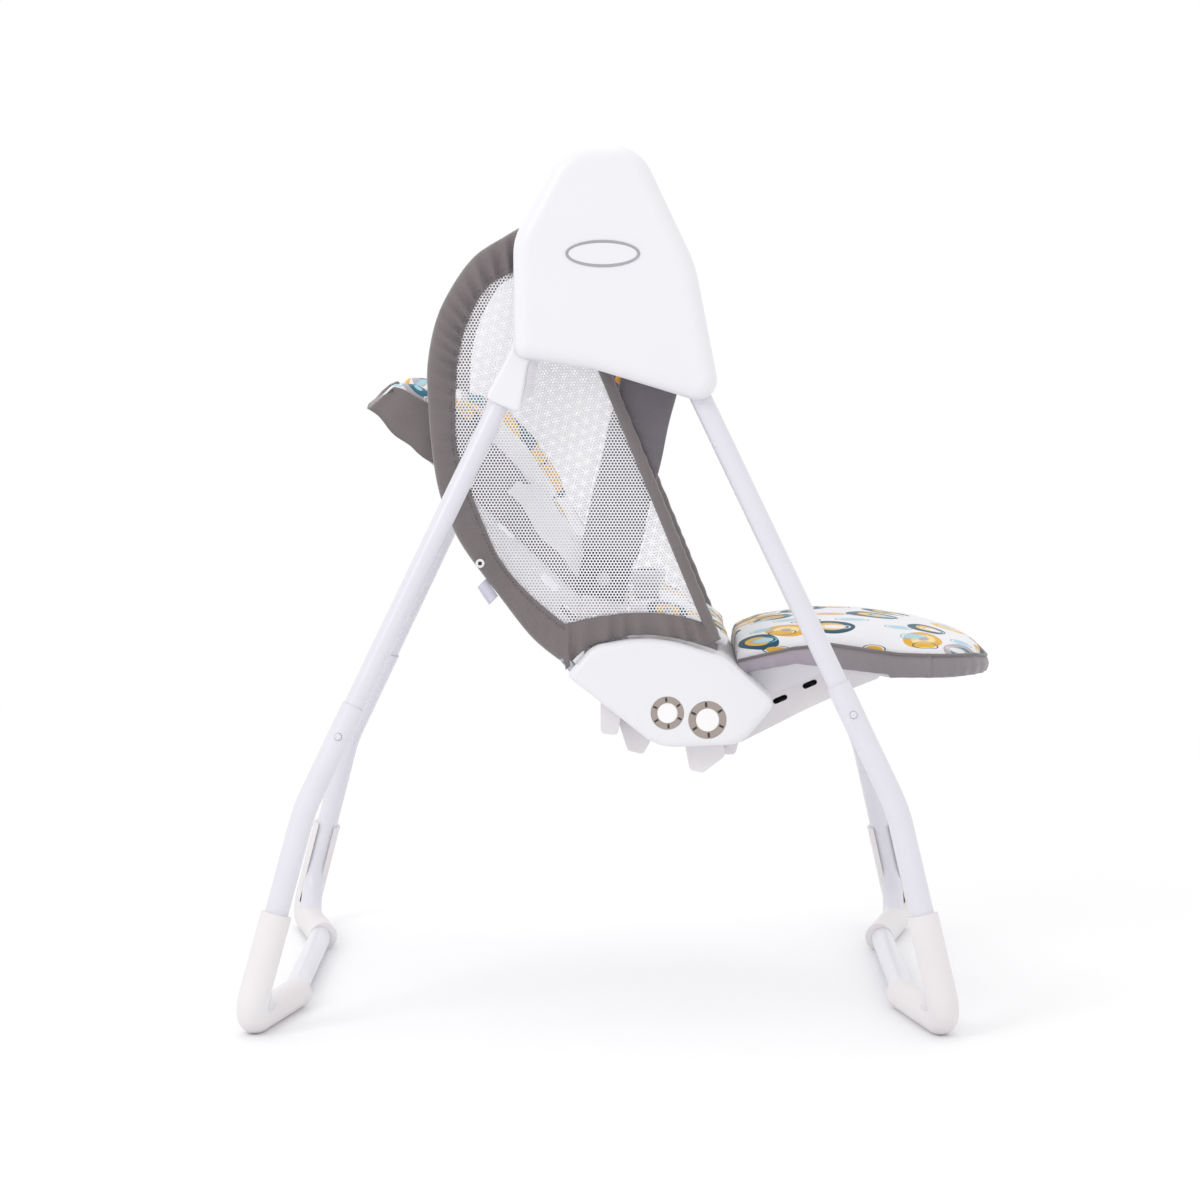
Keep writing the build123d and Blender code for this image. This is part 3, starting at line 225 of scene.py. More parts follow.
# Small steel parts: screws, pins, rods and brackets, turned, drawn or pressed and zinc plated.
# Plating leaves a soft directional haze, so the roughness runs in fine bands.

BAND_MM = 1.885
WAVE_BANDS = 20 / (2 * math.pi)     # a wave texture of scale 1 has this many bands to a unit

zinc, tree, shader = surface("zinc_plated_steel", "#B9BCC2", 0.34, Metallic=1.0)
here = node(tree, "ShaderNodeTexCoord").outputs["Object"]
bands = node(tree, "ShaderNodeTexWave", {"Vector": here, "Scale": 1000 / BAND_MM / WAVE_BANDS,
                                          "Distortion": 3.0})
spread = node(tree, "ShaderNodeMapRange", {"Value": bands.outputs["Fac"], "To Min": 0.28, "To Max": 0.42})
tree.links.new(spread.outputs["Result"], shader.inputs["Roughness"])
dress(zinc, "hub_screws", "fold_pins", "swing_shafts", "hanger_brackets", "wing_rear_rods",
      "wing_front_rods", "back_hinge_pins", "recline_handle_pin", "toy_bar_pins", "motor_bracket")


# Drive: a plated motor can, and gears and bushes moulded from natural acetal.
# Acetal is waxy and slightly see-through, so it is soft in gloss and warm in colour.

can_steel = zinc.copy()
can_steel.name = "plated_motor_can"
can_steel.node_tree.nodes["Principled BSDF"].inputs["Base Color"].default_value = linear("#9A9CA1")
acetal = moulded("natural_acetal", "#E3DCCB", "#D8CFBB", 0.38, 1.1, 0.10)
dress(can_steel, "motor")
dress(acetal, "drive_gear", "motor_pinion", "swing_bushes")


# Controls: a dark grey panel of matte polycarbonate film on the left hub, and a black power inlet.
# The recline handle and the harness buckle are moulded in blue-grey plastic, the buckle's button in
# black.

panel_film = moulded("matte_polycarbonate", "#5C5960", "#55525A", 0.50, 0.8, 0.12)
black_plastic = moulded("black_nylon", "#1E1D20", "#242327", 0.42, 1.0, 0.18)
blue_grey = moulded("blue_grey_plastic", "#BFBFC8", "#B4B4BF", 0.40, 1.0, 0.14)
dress(panel_film, "control_panel")
dress(black_plastic, "power_jack", "buckle_button")
dress(blue_grey, "recline_handle", "buckle")


# Round side caps: each is a beige-grey ring round a white domed middle, two-shot moulded.
# The change of colour follows the ring's inner edge, and the six slots are open onto a ring of painted
# shade on the cover below.

# each cap's middle and radius, in mm, and shares of that radius
CAP_CENTRES = [(70.6, 309.0, 16.8), (111.6, 302.0, 19.2)]
MIDDLE_SHARE = 0.62
# where the ring of painted shade lies under the slots: its middle and half its width, as shares of the
# cap's radius
SHADE_RING_SHARE = 0.8
SHADE_RING_HALF = 0.16


def cap_zone(tree, share, half_share):
    """1 within half_share of a circle round each cap's middle, both as shares of its radius."""
    here = node(tree, "ShaderNodeTexCoord").outputs["Object"]
    flat_place = node(tree, "ShaderNodeVectorMath", {0: here, 1: (1.0, 0.0, 1.0)}, operation="MULTIPLY")
    zone = 0.0
    for cap_x, cap_z, cap_radius in CAP_CENTRES:
        far = node(tree, "ShaderNodeVectorMath", {0: flat_place.outputs[0], 1: spot(cap_x, 0, cap_z)},
                   operation="DISTANCE")
        off = node(tree, "ShaderNodeMath", {0: far.outputs["Value"], 1: cap_radius * share * MM},
                   operation="SUBTRACT")
        off = node(tree, "ShaderNodeMath", {0: off.outputs[0]}, operation="ABSOLUTE")
        near = node(tree, "ShaderNodeMath", {0: off.outputs[0], 1: cap_radius * half_share * MM},
                    operation="LESS_THAN")
        zone = node(tree, "ShaderNodeMath", {0: zone, 1: near.outputs[0]}, operation="MAXIMUM").outputs[0]
    return zone


two_shot, tree, shader = surface("two_shot_cap", "#9E928C", 0.45)
tone = node(tree, "ShaderNodeMix", {"Factor": cap_zone(tree, 0.0, MIDDLE_SHARE), "A": linear("#A2968F"),
                                    "B": linear("#F3F1F1")}, data_type="RGBA")
tree.links.new(tone.outputs["Result"], shader.inputs["Base Color"])
dress(two_shot, "side_caps")

# Painted shade: a dark ring painted on the white cover under each cap, standing in for the shade in the
# hollow; it shows only through the slots.
cover_white_painted_shade = white_shell.copy()
cover_white_painted_shade.name = "base_cover_polypropylene_painted_shade"
tree = cover_white_painted_shade.node_tree
shader = tree.nodes["Principled BSDF"]
body_colour = shader.inputs["Base Color"].links[0].from_socket
shaded = node(tree, "ShaderNodeMix", {"Factor": cap_zone(tree, SHADE_RING_SHARE, SHADE_RING_HALF),
                                      "A": body_colour, "B": linear("#4A4542")}, data_type="RGBA")
tree.links.new(shaded.outputs["Result"], shader.inputs["Base Color"])
dress(cover_white_painted_shade, "base_side_cover_right", "base_side_cover_left")


# Hub badge: a plain oval plate with a raised rim, moulded and pressed into the right hub.
# The rim is painted grey and the field is white, with nothing printed on it.

BADGE_RIM = 1.6
BADGE_SIDES = 96


def new_piece(name, points, faces, material, body, smooth=True):
    """Makes a mesh from points in metres, gives it a material and fixes it to a body."""
    mesh = bpy.data.meshes.new(name)
    mesh.from_pydata([tuple(p) for p in points], [], faces)
    mesh.materials.append(material)
    for face in mesh.polygons:
        face.use_smooth = smooth
    made = bpy.data.objects.new(name, mesh)
    bpy.context.scene.collection.objects.link(made)
    tidy = bmesh.new()
    tidy.from_mesh(mesh)
    bmesh.ops.recalc_face_normals(tidy, faces=tidy.faces)
    tidy.to_mesh(mesh)
    tidy.free()
    if body:
        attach(made, body)
    return made


def loft(rings, caps=True):
    """Points and faces of a skin over rings that all have the same number of points."""
    count = len(rings[0])
    points = [p for ring in rings for p in ring]
    faces = []
    for row in range(len(rings) - 1):
        for i in range(count):
            j = (i + 1) % count
            faces.append((row * count + i, row * count + j, (row + 1) * count + j, (row + 1) * count + i))
    if caps:
        faces.append(tuple(range(count))[::-1])
        faces.append(tuple(range((len(rings) - 1) * count, len(rings) * count)))
    return points, faces


def skin(name, rings, material, body):
    """A closed skin over rings, fixed to a body."""
    points, faces = loft(rings)
    made = new_piece(name, points, faces, material, body)
    return made


badge_low, badge_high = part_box("hub_badge")
badge_mid = (badge_low + badge_high) / 2
badge_half = (badge_high - badge_low) / 2
# from the rim's foot to the badge's middle: the inset in rim widths, and the height in mm
RIM_PROFILE = [(0.0, 0.0), (0.1, 0.75), (0.5, 1.0), (1.0, 0.8), (1.3, 0.35), (1.9, 0.3)]
FIELD_PROFILE = [(1.25, 0.25), (4.0, 0.42), (6.5, 0.48)]
FIELD_CROWN = 0.5


def badge_ring(inset, height):
    ring = []
    for i in range(BADGE_SIDES):
        angle = 2 * math.pi * i / BADGE_SIDES
        x = badge_mid.x + (badge_half.x - inset * BADGE_RIM * MM) * math.cos(angle)
        z = badge_mid.z + (badge_half.z - inset * BADGE_RIM * MM) * math.sin(angle)
        ring.append(Vector((x, badge_high.y - height * MM, z)))
    return ring


rim_paint = moulded("grey_badge_paint", "#A9A9AE", "#9F9FA5", 0.34, 1.0, 0.06)
points, faces = loft([badge_ring(*step) for step in RIM_PROFILE], caps=False)
rim = new_piece("hub_badge_rim", points, faces, rim_paint, "frame")
points, faces = loft([badge_ring(*step) for step in FIELD_PROFILE], caps=False)
points.append(Vector((badge_mid.x, badge_high.y - FIELD_CROWN * MM, badge_mid.z)))
faces += [(2 * BADGE_SIDES + i, 2 * BADGE_SIDES + (i + 1) % BADGE_SIDES, 3 * BADGE_SIDES)
          for i in range(BADGE_SIDES)]
field = new_piece("hub_badge_field", points, faces, white_shell, "frame")
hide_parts("hub_badge")


# Wing border: a grey woven polyester sleeve over the rear rod, padded, with its inner edge
# drawn up by a sewn elastic. The elastic gathers it, so folds run across it, most at the top.

WING_Y = 155.0
OUTER_EDGE = [(-50, 812), (-73, 806), (-97, 793), (-127, 773), (-151, 740), (-166, 707), (-174, 666),
              (-174, 631), (-170, 577), (-163, 535), (-151, 502), (-136, 474), (-104, 431), (-67, 384),
              (-29, 354)]
INNER_EDGE = [(-55, 772), (-88, 758), (-113, 743), (-131, 713), (-141, 682), (-145, 649), (-145, 582),
              (-133, 541), (-116, 498), (-101, 466), (-73, 432), (-32, 397)]
BORDER_STEPS = 260
FOLD_MM = 3.4           # height of the gathers at the sewn edge
GATHER_FROM = 520       # below this height the cloth is hardly gathered
GATHER_RISE = 190       # and it is fully gathered this much higher
SEAM_SHARE = 0.14       # of the band's width, from the inner edge to the row of stitches
# across the band, from the sewn inner edge to the outer fold: share of the width, half thickness
BORDER_SECTION = [(0.0, 1.0), (0.06, 2.2), (0.2, 4.2), (0.42, 5.9), (0.66, 6.9), (0.84, 6.2),
                  (0.95, 3.9), (1.0, 0.0)]
THREAD_MM = 2.96        # real threads are 0.4 mm apart, which would not show


def smooth_line(corners, count):
    """Evenly spaced points along a smooth curve through the corners."""
    fine = []
    padded = [corners[0]] + list(corners) + [corners[-1]]
    for a, b, c, d in zip(padded, padded[1:], padded[2:], padded[3:]):
        a, b, c, d = (np.array(p, float) for p in (a, b, c, d))
        for t in np.linspace(0, 1, 40, endpoint=False):
            fine.append(0.5 * (2 * b + (c - a) * t + (2 * a - 5 * b + 4 * c - d) * t ** 2
                               + (3 * b - a - 3 * c + d) * t ** 3))
    fine = np.array(fine + [np.array(corners[-1], float)])
    reach = np.concatenate([[0], np.cumsum(np.linalg.norm(np.diff(fine, axis=0), axis=1))])
    at = np.linspace(0, reach[-1], count)
    return np.stack([np.interp(at, reach, fine[:, k]) for k in range(fine.shape[1])], axis=1)


def woven(name, colour, shift, thread_mm, sheen=0.35, roughness=0.85):
    """Plain-weave cloth: crossed threads as relief, soft patches of tone and a fibre sheen."""
    made, tree, shader = surface(name, colour, roughness, Sheen_Weight=sheen, Sheen_Roughness=0.5)
    here = speckled(tree, shader, colour, shift, pitch_mm=35.0)
    turn = math.radians(90)
    turned = node(tree, "ShaderNodeMapping", {"Vector": here, "Rotation": (0.0, turn, turn)}).outputs[0]
    warp, weft = (node(tree, "ShaderNodeTexWave", {"Vector": way, "Distortion": 0.6,
                                                   "Scale": 1000 / thread_mm / WAVE_BANDS},
                       bands_direction="Z").outputs["Fac"] for way in (here, turned))
    both = node(tree, "ShaderNodeMath", {0: warp, 1: weft})
    bumped(tree, shader, both.outputs[0], strength=0.35, distance=0.0004)
    return made


grey_weave = woven("woven_grey_polyester", "#7B7374", "#6F6869", THREAD_MM)
stitch_thread = woven("sewing_thread", "#5E5758", "#544E4F", 1.97)


def gather(step, share, height):
    """How far a gathered fold lifts the cloth, in millimetres, at a place on the border."""
    wave = math.sin(step * 0.83 + 1.9 * math.sin(step * 0.083)) + 0.5 * math.sin(step * 0.31 + 2.0)
    drawn_up = min(1.0, max(0.16, (height - GATHER_FROM) / GATHER_RISE))
    return FOLD_MM * wave * drawn_up * (1 - 0.72 * share)


ROD_LINE = [(-53, 800), (-124, 768), (-164, 681), (-155, 514), (-22, 348)]
ROD_BENDS = [90, 150, 120]
ROD_COVER = 6.6         # the least half thickness of the sleeve over the middle of its rod


def rod_swell(x, z):
    """Half thickness that the rod inside the sleeve needs, in mm, at that place."""
    away = np.min(np.hypot(rod_path[:, 0] - x, rod_path[:, 1] - z))
    return math.sqrt(max(0.0, ROD_COVER ** 2 - away ** 2))


def bent_wire(corners, radii):
    """Points along a wire that runs straight between corners and is bent at each of them."""
    path = [np.array(corners[0], float)]
    for before, at, after, radius in zip(corners, corners[1:], corners[2:], radii):
        before, at, after = (np.array(p, float) for p in (before, at, after))
        back = (before - at) / np.linalg.norm(before - at)
        ahead = (after - at) / np.linalg.norm(after - at)
        half = math.acos(float(back @ ahead)) / 2
        reach = radius / math.tan(half)
        middle = at + (back + ahead) / np.linalg.norm(back + ahead) * radius / math.sin(half)
        start, end = at + back * reach - middle, at + ahead * reach - middle
        for share in np.linspace(0, 1, 14):
            spoke = start * (1 - share) + end * share
            path.append(middle + spoke / np.linalg.norm(spoke) * radius)
    path.append(np.array(corners[-1], float))
    fine = [a + (b - a) * t for a, b in zip(path, path[1:]) for t in np.linspace(0, 1, 12, endpoint=False)]
    return np.array(fine + [path[-1]])


rod_path = bent_wire(ROD_LINE, ROD_BENDS)


def border_rings(side):
    outer = smooth_line(OUTER_EDGE, BORDER_STEPS)
    inner = smooth_line(INNER_EDGE, BORDER_STEPS)
    rings = []
    for step in range(BORDER_STEPS):
        across = outer[step] - inner[step]
        ring = []
        for direction in (1, -1):
            walk = BORDER_SECTION if direction == 1 else BORDER_SECTION[-2:0:-1]
            for share, half in walk:
                x, z = inner[step] + across * share
                lift = gather(step, share, z) * (0.35 if direction == -1 else 1.0)
                puffed = half + (lift if half > 0 else 0)
                puffed = max(puffed, rod_swell(x, z), 0.4 if half else 0)
                ring.append(spot(x, side * (WING_Y + direction * puffed), z))
        rings.append(ring)
    return rings


STITCH_EVERY, STITCH_LENGTH, STITCH_RADIUS = 4.4, 2.6, 0.38
# along one stitch: share of its length, and of its radius
STITCH_SHAPE = [(0.0, 0.35), (0.18, 1.0), (0.82, 1.0), (1.0, 0.35)]


def stitches(name, line, side, y):
    """A row of separate thread stitches along a line of x, z points, as one mesh."""
    reach = np.concatenate([[0], np.cumsum(np.linalg.norm(np.diff(line, axis=0), axis=1))])
    points, faces = [], []
    for start in np.arange(2.0, reach[-1] - STITCH_LENGTH, STITCH_EVERY):
        ends = [np.array([np.interp(start + d, reach, line[:, k]) for k in (0, 1)])
                for d in (0, STITCH_LENGTH)]
        along = (ends[1] - ends[0]) / max(np.linalg.norm(ends[1] - ends[0]), 1e-9)
        normal = np.array([-along[1], along[0]])
        base = len(points)
        for share, size in STITCH_SHAPE:
            mid = ends[0] + (ends[1] - ends[0]) * share
            radius = STITCH_RADIUS * size
            for k in range(6):
                angle = k * math.pi / 3
                x, z = mid + normal * radius * math.cos(angle)
                points.append(spot(x, side * (y + radius * math.sin(angle)), z))
        for row in range(3):
            for k in range(6):
                a, b = base + row * 6 + k, base + row * 6 + (k + 1) % 6
                faces.append((a, b, b + 6, a + 6))
        faces.append(tuple(base + k for k in range(6)))
        faces.append(tuple(base + 18 + k for k in range(6)))
    row = new_piece(name, points, faces, stitch_thread, "seat")


SIDES = {"right": -1, "left": 1}
inner, outer = smooth_line(INNER_EDGE, BORDER_STEPS), smooth_line(OUTER_EDGE, BORDER_STEPS)
seam = inner * (1 - SEAM_SHARE) + outer * SEAM_SHARE
for side_name, side in SIDES.items():
    skin("wing_border_" + side_name, border_rings(side), grey_weave, "seat")
    stitches("wing_border_stitches_" + side_name, seam, side, WING_Y + 4.0)


# Wing net: white polyester warp-knit mesh, stretched flat between the sleeves.
# The knit leaves six-sided holes, which are really open, so what is behind shows through them.

NET_PITCH = 3.3
NET_REACH = 300         # mm from the middle of the panel, further than any of its corners
NET_TURN = {-1: 0.0, 1: math.radians(15)}   # the left panel is cut a little off the grain
CORNER_GRID = 20        # corners within a twentieth of a millimetre are the same one
HOLE_SHARE = 0.65       # size of a hole, as a share of its cell
FRONT_TOP = (-53.0, 800.0)
FRONT_FOOT = (120.0, 382.0)
BAND_TOP = [(-32, 397), (-4, 406), (40, 411), (80, 408), (109, 400)]
LOOP_MM = 0.9

knit, tree, shader = surface("white_warp_knit", "#F4F3F6", 0.75, Sheen_Weight=0.25, Sheen_Roughness=0.5)
here = speckled(tree, shader, "#F6F5F8", "#EBEAEF", pitch_mm=14.0)
loops = node(tree, "ShaderNodeTexNoise", {"Vector": here, "Scale": 1000 / LOOP_MM, "Detail": 2.0})
bumped(tree, shader, loops.outputs["Fac"], strength=0.3, distance=0.0003)


def is_inside(x, z, loop):
    """Which of the points lie inside a closed loop."""
    hit = np.zeros(len(x), bool)
    for (x0, z0), (x1, z1) in zip(loop, np.roll(loop, -1, axis=0)):
        crosses = (z0 > z) != (z1 > z)
        slope = (x1 - x0) / (z1 - z0 if z1 != z0 else 1e-9)
        hit ^= crosses & (x < x0 + slope * (z - z0))
    return hit


def net(side):
    """Points, faces and cloth area of one wing's panel: a six-sided frame of cloth to each hole."""
    loop = np.concatenate([smooth_line(INNER_EDGE, 60), smooth_line(BAND_TOP, 20), [FRONT_TOP]])
    turn = NET_TURN[side]
    spin = np.array([[math.cos(turn), -math.sin(turn)], [math.sin(turn), math.cos(turn)]])
    row_step = NET_PITCH * math.sqrt(3) / 2
    middle = loop.mean(axis=0)
    columns = np.arange(-NET_REACH, NET_REACH, NET_PITCH)
    rows = np.arange(-NET_REACH, NET_REACH, row_step)
    centres = np.array([(x + (NET_PITCH / 2 if i % 2 else 0), z) for i, z in enumerate(rows)
                        for x in columns]) @ spin.T + middle
    centres = centres[is_inside(centres[:, 0], centres[:, 1], loop)]
    corner = NET_PITCH / math.sqrt(3)
    angles = np.radians(30 + 60 * np.arange(6))
    shape = np.stack([np.cos(angles), np.sin(angles)], axis=1) @ spin.T * corner
    points, faces, known = [], [], {}
    for x, z in centres:
        outer, inner = [], []
        for dx, dz in shape:
            key = (round((x + dx) * CORNER_GRID), round((z + dz) * CORNER_GRID))
            if key not in known:
                known[key] = len(points)
                points.append(spot(x + dx, side * WING_Y, z + dz))
            outer.append(known[key])
            inner.append(len(points))
            points.append(spot(x + dx * HOLE_SHARE, side * WING_Y, z + dz * HOLE_SHARE))
        for k in range(6):
            j = (k + 1) % 6
            faces.append((outer[k], outer[j], inner[j], inner[k]))
    # the cloth itself, without its holes
    area = len(centres) * row_step * NET_PITCH * (1 - HOLE_SHARE ** 2) * MM * MM
    return points, faces, area


for side_name, side in SIDES.items():
    points, faces, net_area = net(side)
    wing = new_piece("wing_net_" + side_name, points, faces, knit, "seat", smooth=False)
    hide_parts("side_wing_" + side_name)


# Front binding: the same grey cloth folded over the front rod and sewn close to it.
# It is tight, so it only shows short, shallow creases across its width.

BINDING_RADIUS = 5.9
BINDING_STEPS = 150
BINDING_SIDES = 14
BINDING_OUT = (0.92, 0.39)      # square to the rod, away from the net
CREASE_MM = 0.35

for side_name, side in SIDES.items():
    rings = []
    for step in range(BINDING_STEPS):
        share = step / (BINDING_STEPS - 1)
        x, z = (top + (foot - top) * share for top, foot in zip(FRONT_TOP, FRONT_FOOT))
        crease = CREASE_MM * math.sin(step * 1.1 + 2 * math.sin(step * 0.21))
        ring = []
        for k in range(BINDING_SIDES):
            angle = 2 * math.pi * k / BINDING_SIDES
            radius = BINDING_RADIUS + crease * max(0.0, math.cos(angle))
            out = radius * math.cos(angle)
            ring.append(spot(x + out * BINDING_OUT[0], side * (WING_Y + radius * math.sin(angle)),
                             z + out * BINDING_OUT[1]))
        rings.append(ring)
    skin("wing_binding_" + side_name, rings, grey_weave, "seat")


# Lower band: grey cloth that closes the wing along the top of the base.
# It is cut longer than the base and pleated into it, so upright folds run down its face.

BASE_TOP = [(-34, 352), (-14, 373), (22, 386), (58, 388), (95, 381), (122, 372)]
BAND_EDGE = [(-36, 399)] + BAND_TOP[1:4] + [(113, 399)]
BAND_STEPS = 120
BAND_ROWS = 8
BAND_PLEAT = 2.6

for side_name, side in SIDES.items():
    high = smooth_line(BAND_EDGE, BAND_STEPS)
    low = smooth_line(BASE_TOP, BAND_STEPS)
    rings = []
    for step in range(BAND_STEPS):
        pleat = BAND_PLEAT * math.sin(step * 0.42 + 1.2 * math.sin(step * 0.13))
        ring = []
        for direction in (1, -1):
            for share in np.linspace(0, 1, BAND_ROWS)[::direction]:
                x, z = low[step] + (high[step] - low[step]) * share
                bulge = 2.4 + 2.2 * math.sin(math.pi * share) + pleat * (1 - 0.5 * share)
                ring.append(spot(x, side * (WING_Y + direction * max(bulge, 0.8)), z))
        rings.append(ring)
    skin("wing_lower_band_" + side_name, rings, grey_weave, "seat")


# Snap and label: a white moulded snap near the foot of each border, and a folded satin tag
# sewn into its outer seam. The tag is blank.

SNAP = (-121.0, 462.0)
# from the snap's foot over its rim into its dark hole: radius, and height over the wing's plane
SNAP_PROFILE = [(4.6, 6.4), (4.6, 7.6), (3.9, 8.3), (2.2, 8.3), (1.8, 7.4), (1.3, 7.2)]
SNAP_HOLE = 1.9
SNAP_HOLE_RISE = 7.0
TAG = [(-124, 437), (-115, 446), (-103, 428), (-112, 419)]
TAG_HALF = 0.8

snap_white = moulded("snap_plastic", "#F2F1F3", "#E8E6EA", 0.35, 0.8, 0.08)
satin = woven("satin_label", "#D9D7E6", "#CFCDDF", 1.78, sheen=0.5, roughness=0.5)
for side_name, side in SIDES.items():
    rings = []
    for radius, rise in SNAP_PROFILE:
        ring = []
        for k in range(40):
            angle = k * math.pi / 20
            ring.append(spot(SNAP[0] + radius * math.cos(angle), side * (WING_Y + rise),
                             SNAP[1] + radius * math.sin(angle)))
        rings.append(ring)
    snap = skin("wing_snap_" + side_name, rings, snap_white, "seat")
    snap.data.materials.append(black_plastic)
    for face in snap.data.polygons:
        off = face.center - spot(SNAP[0], 0, SNAP[1])
        if max(abs(off.x), abs(off.z)) < SNAP_HOLE * MM and abs(off.y) > (WING_Y + SNAP_HOLE_RISE) * MM:
            face.material_index = 1
    rings = []
    for share in np.linspace(0, 1, 10):
        ring = []
        for a, b, y in ((TAG[0], TAG[3], TAG_HALF), (TAG[1], TAG[2], TAG_HALF),
                        (TAG[1], TAG[2], -TAG_HALF), (TAG[0], TAG[3], -TAG_HALF)):
            x = a[0] + (b[0] - a[0]) * share
            z = a[1] + (b[1] - a[1]) * share
            ring.append(spot(x, side * (WING_Y + y + 1.2 * math.sin(share * 3)), z))
        rings.append(ring)
    skin("wing_label_" + side_name, rings, satin, "seat")


# Printed cloth: soft cotton jersey with a faint rib, for all the pads.
# It is printed on white with plain ovals and rings in mustard, teal, grey and light blue.

KNIT_MM = 0.5027
PAD_EDGE = 60.0         # half the width over which the print turns from one edge to the other
GROUND = "#E9E8EC"
BIG = (76.0, 0.3, 1.35, (0.0, 0.0, 0.0))
SLIM = (58.0, 1.1, 2.4, (0.3, 0.6, 0.0))
# from the lowest to the top one: the scatter with its pitch in mm, turn, stretch and shift; the
# radius in mm; half the line's width in mm where it is a ring; and the colours
MOTIFS = [
    (BIG, 25.0, None, ["#0B4B5F", "#B5ADB2", "#0B4B5F", "#E0AC38"]),
    (BIG, 15.0, None, ["#E1AF3C", "#2B6C80", "#E6BC55", "#F0D79A"]),
    (BIG, 6.0, None, ["#B5ADB2", "#A9CFE0", "#0B4B5F", "#B5ADB2"]),
    (SLIM, 12.0, None, [GROUND, "#E1AF3C", GROUND, "#A9CFE0"]),
    (SLIM, 15.5, 0.9, [GROUND, "#0B4B5F", GROUND, "#7DB4CB"]),
]


def printed(name, rotation, level, middle):
    """The printed jersey: the rotation turns its plane to level, at that height, with the pad's
    middle at that x, both in mm."""
    made, tree, shader = surface(name, "#F2F1F4", 0.8, Sheen_Weight=0.3, Sheen_Roughness=0.5)
    here = node(tree, "ShaderNodeTexCoord").outputs["Object"]
    laid = node(tree, "ShaderNodeMapping", {"Vector": here, "Rotation": rotation,
                                            "Scale": (1000.0, 1000.0, 1000.0)}).outputs[0]
    # past the edges of a pad the print follows the cloth down, as it is one flat piece
    apart = node(tree, "ShaderNodeSeparateXYZ", {0: laid})
    drop = node(tree, "ShaderNodeMath", {0: apart.outputs["Z"], 1: level}, operation="SUBTRACT")
    over = {}
    for axis, centre in (("Y", 0.0), ("X", middle)):
        share = node(tree, "ShaderNodeMapRange", {"Value": apart.outputs[axis], "To Min": -1.0,
                                                  "From Min": centre - PAD_EDGE, "To Max": 1.0,
                                                  "From Max": centre + PAD_EDGE})
        down = node(tree, "ShaderNodeMath", {0: drop.outputs[0], 1: share.outputs[0]},
                    operation="MULTIPLY")
        over[axis] = node(tree, "ShaderNodeMath", {0: apart.outputs[axis], 1: down.outputs[0]},
                          operation="SUBTRACT").outputs[0]
    laid = node(tree, "ShaderNodeCombineXYZ", over).outputs[0]

    def motif(under, scatter, size, ring, tones):
        """A scatter of ovals or rings over a colour, each in one of the tones."""
        pitch, turn, stretch, shift = scatter
        spun = node(tree, "ShaderNodeMapping", {"Vector": laid, "Location": shift,
                                                "Rotation": (0.0, 0.0, turn),
                                                "Scale": (1 / pitch, stretch / pitch, 1.0)}).outputs[0]
        cells = node(tree, "ShaderNodeTexVoronoi", {"Vector": spun, "Scale": 1.0, "Randomness": 0.55},
                     voronoi_dimensions="2D")
        pick = node(tree, "ShaderNodeSeparateColor", {"Color": cells.outputs["Color"]}).outputs[0]
        ramp = node(tree, "ShaderNodeValToRGB", {"Fac": pick})
        ramp.color_ramp.interpolation = "CONSTANT"
        for k, tone in enumerate(tones):
            if k > 1:
                ramp.color_ramp.elements.new(k / len(tones))
            ramp.color_ramp.elements[k].position = k / len(tones)
            ramp.color_ramp.elements[k].color = linear(tone)
        off, limit = cells.outputs["Distance"], size
        if ring:
            off = node(tree, "ShaderNodeMath", {0: off, 1: size / pitch}, operation="SUBTRACT").outputs[0]
            off = node(tree, "ShaderNodeMath", {0: off}, operation="ABSOLUTE").outputs[0]
            limit = ring
        mask = node(tree, "ShaderNodeMath", {0: off, 1: limit / pitch}, operation="LESS_THAN")
        mixed = node(tree, "ShaderNodeMix", {"Factor": mask.outputs[0], "A": under,
                                             "B": ramp.outputs["Color"]}, data_type="RGBA")
        return mixed.outputs["Result"]

    colour = linear(GROUND)
    for scatter, size, ring, tones in MOTIFS:
        colour = motif(colour, scatter, size, ring, tones)
    tree.links.new(colour, shader.inputs["Base Color"])
    wales = node(tree, "ShaderNodeTexWave", {"Vector": laid, "Scale": 1 / KNIT_MM / WAVE_BANDS,
                                             "Distortion": 1.5})
    bumped(tree, shader, wales.outputs["Fac"], strength=0.25, distance=0.0004)
    return made


RECLINE = math.radians(43.0)
print_leg = printed("printed_jersey_leg_rest", (0.0, 0.0, 0.0), 388.0, 241.0)
print_seat = printed("printed_jersey_seat", (0.0, 0.0, 0.0), 421.0, 50.0)
print_back = printed("printed_jersey_back", (0.0, -RECLINE, 0.0), 300.0, -462.0)


# Cushions: each is a sewn cover filled with polyester wadding, swollen by its filling.
# The cover rounds out under pressure, and no point moves further than its cap.

VOXEL = 0.005
SWELL_FRAMES = 20
PRESSURE = 4.0


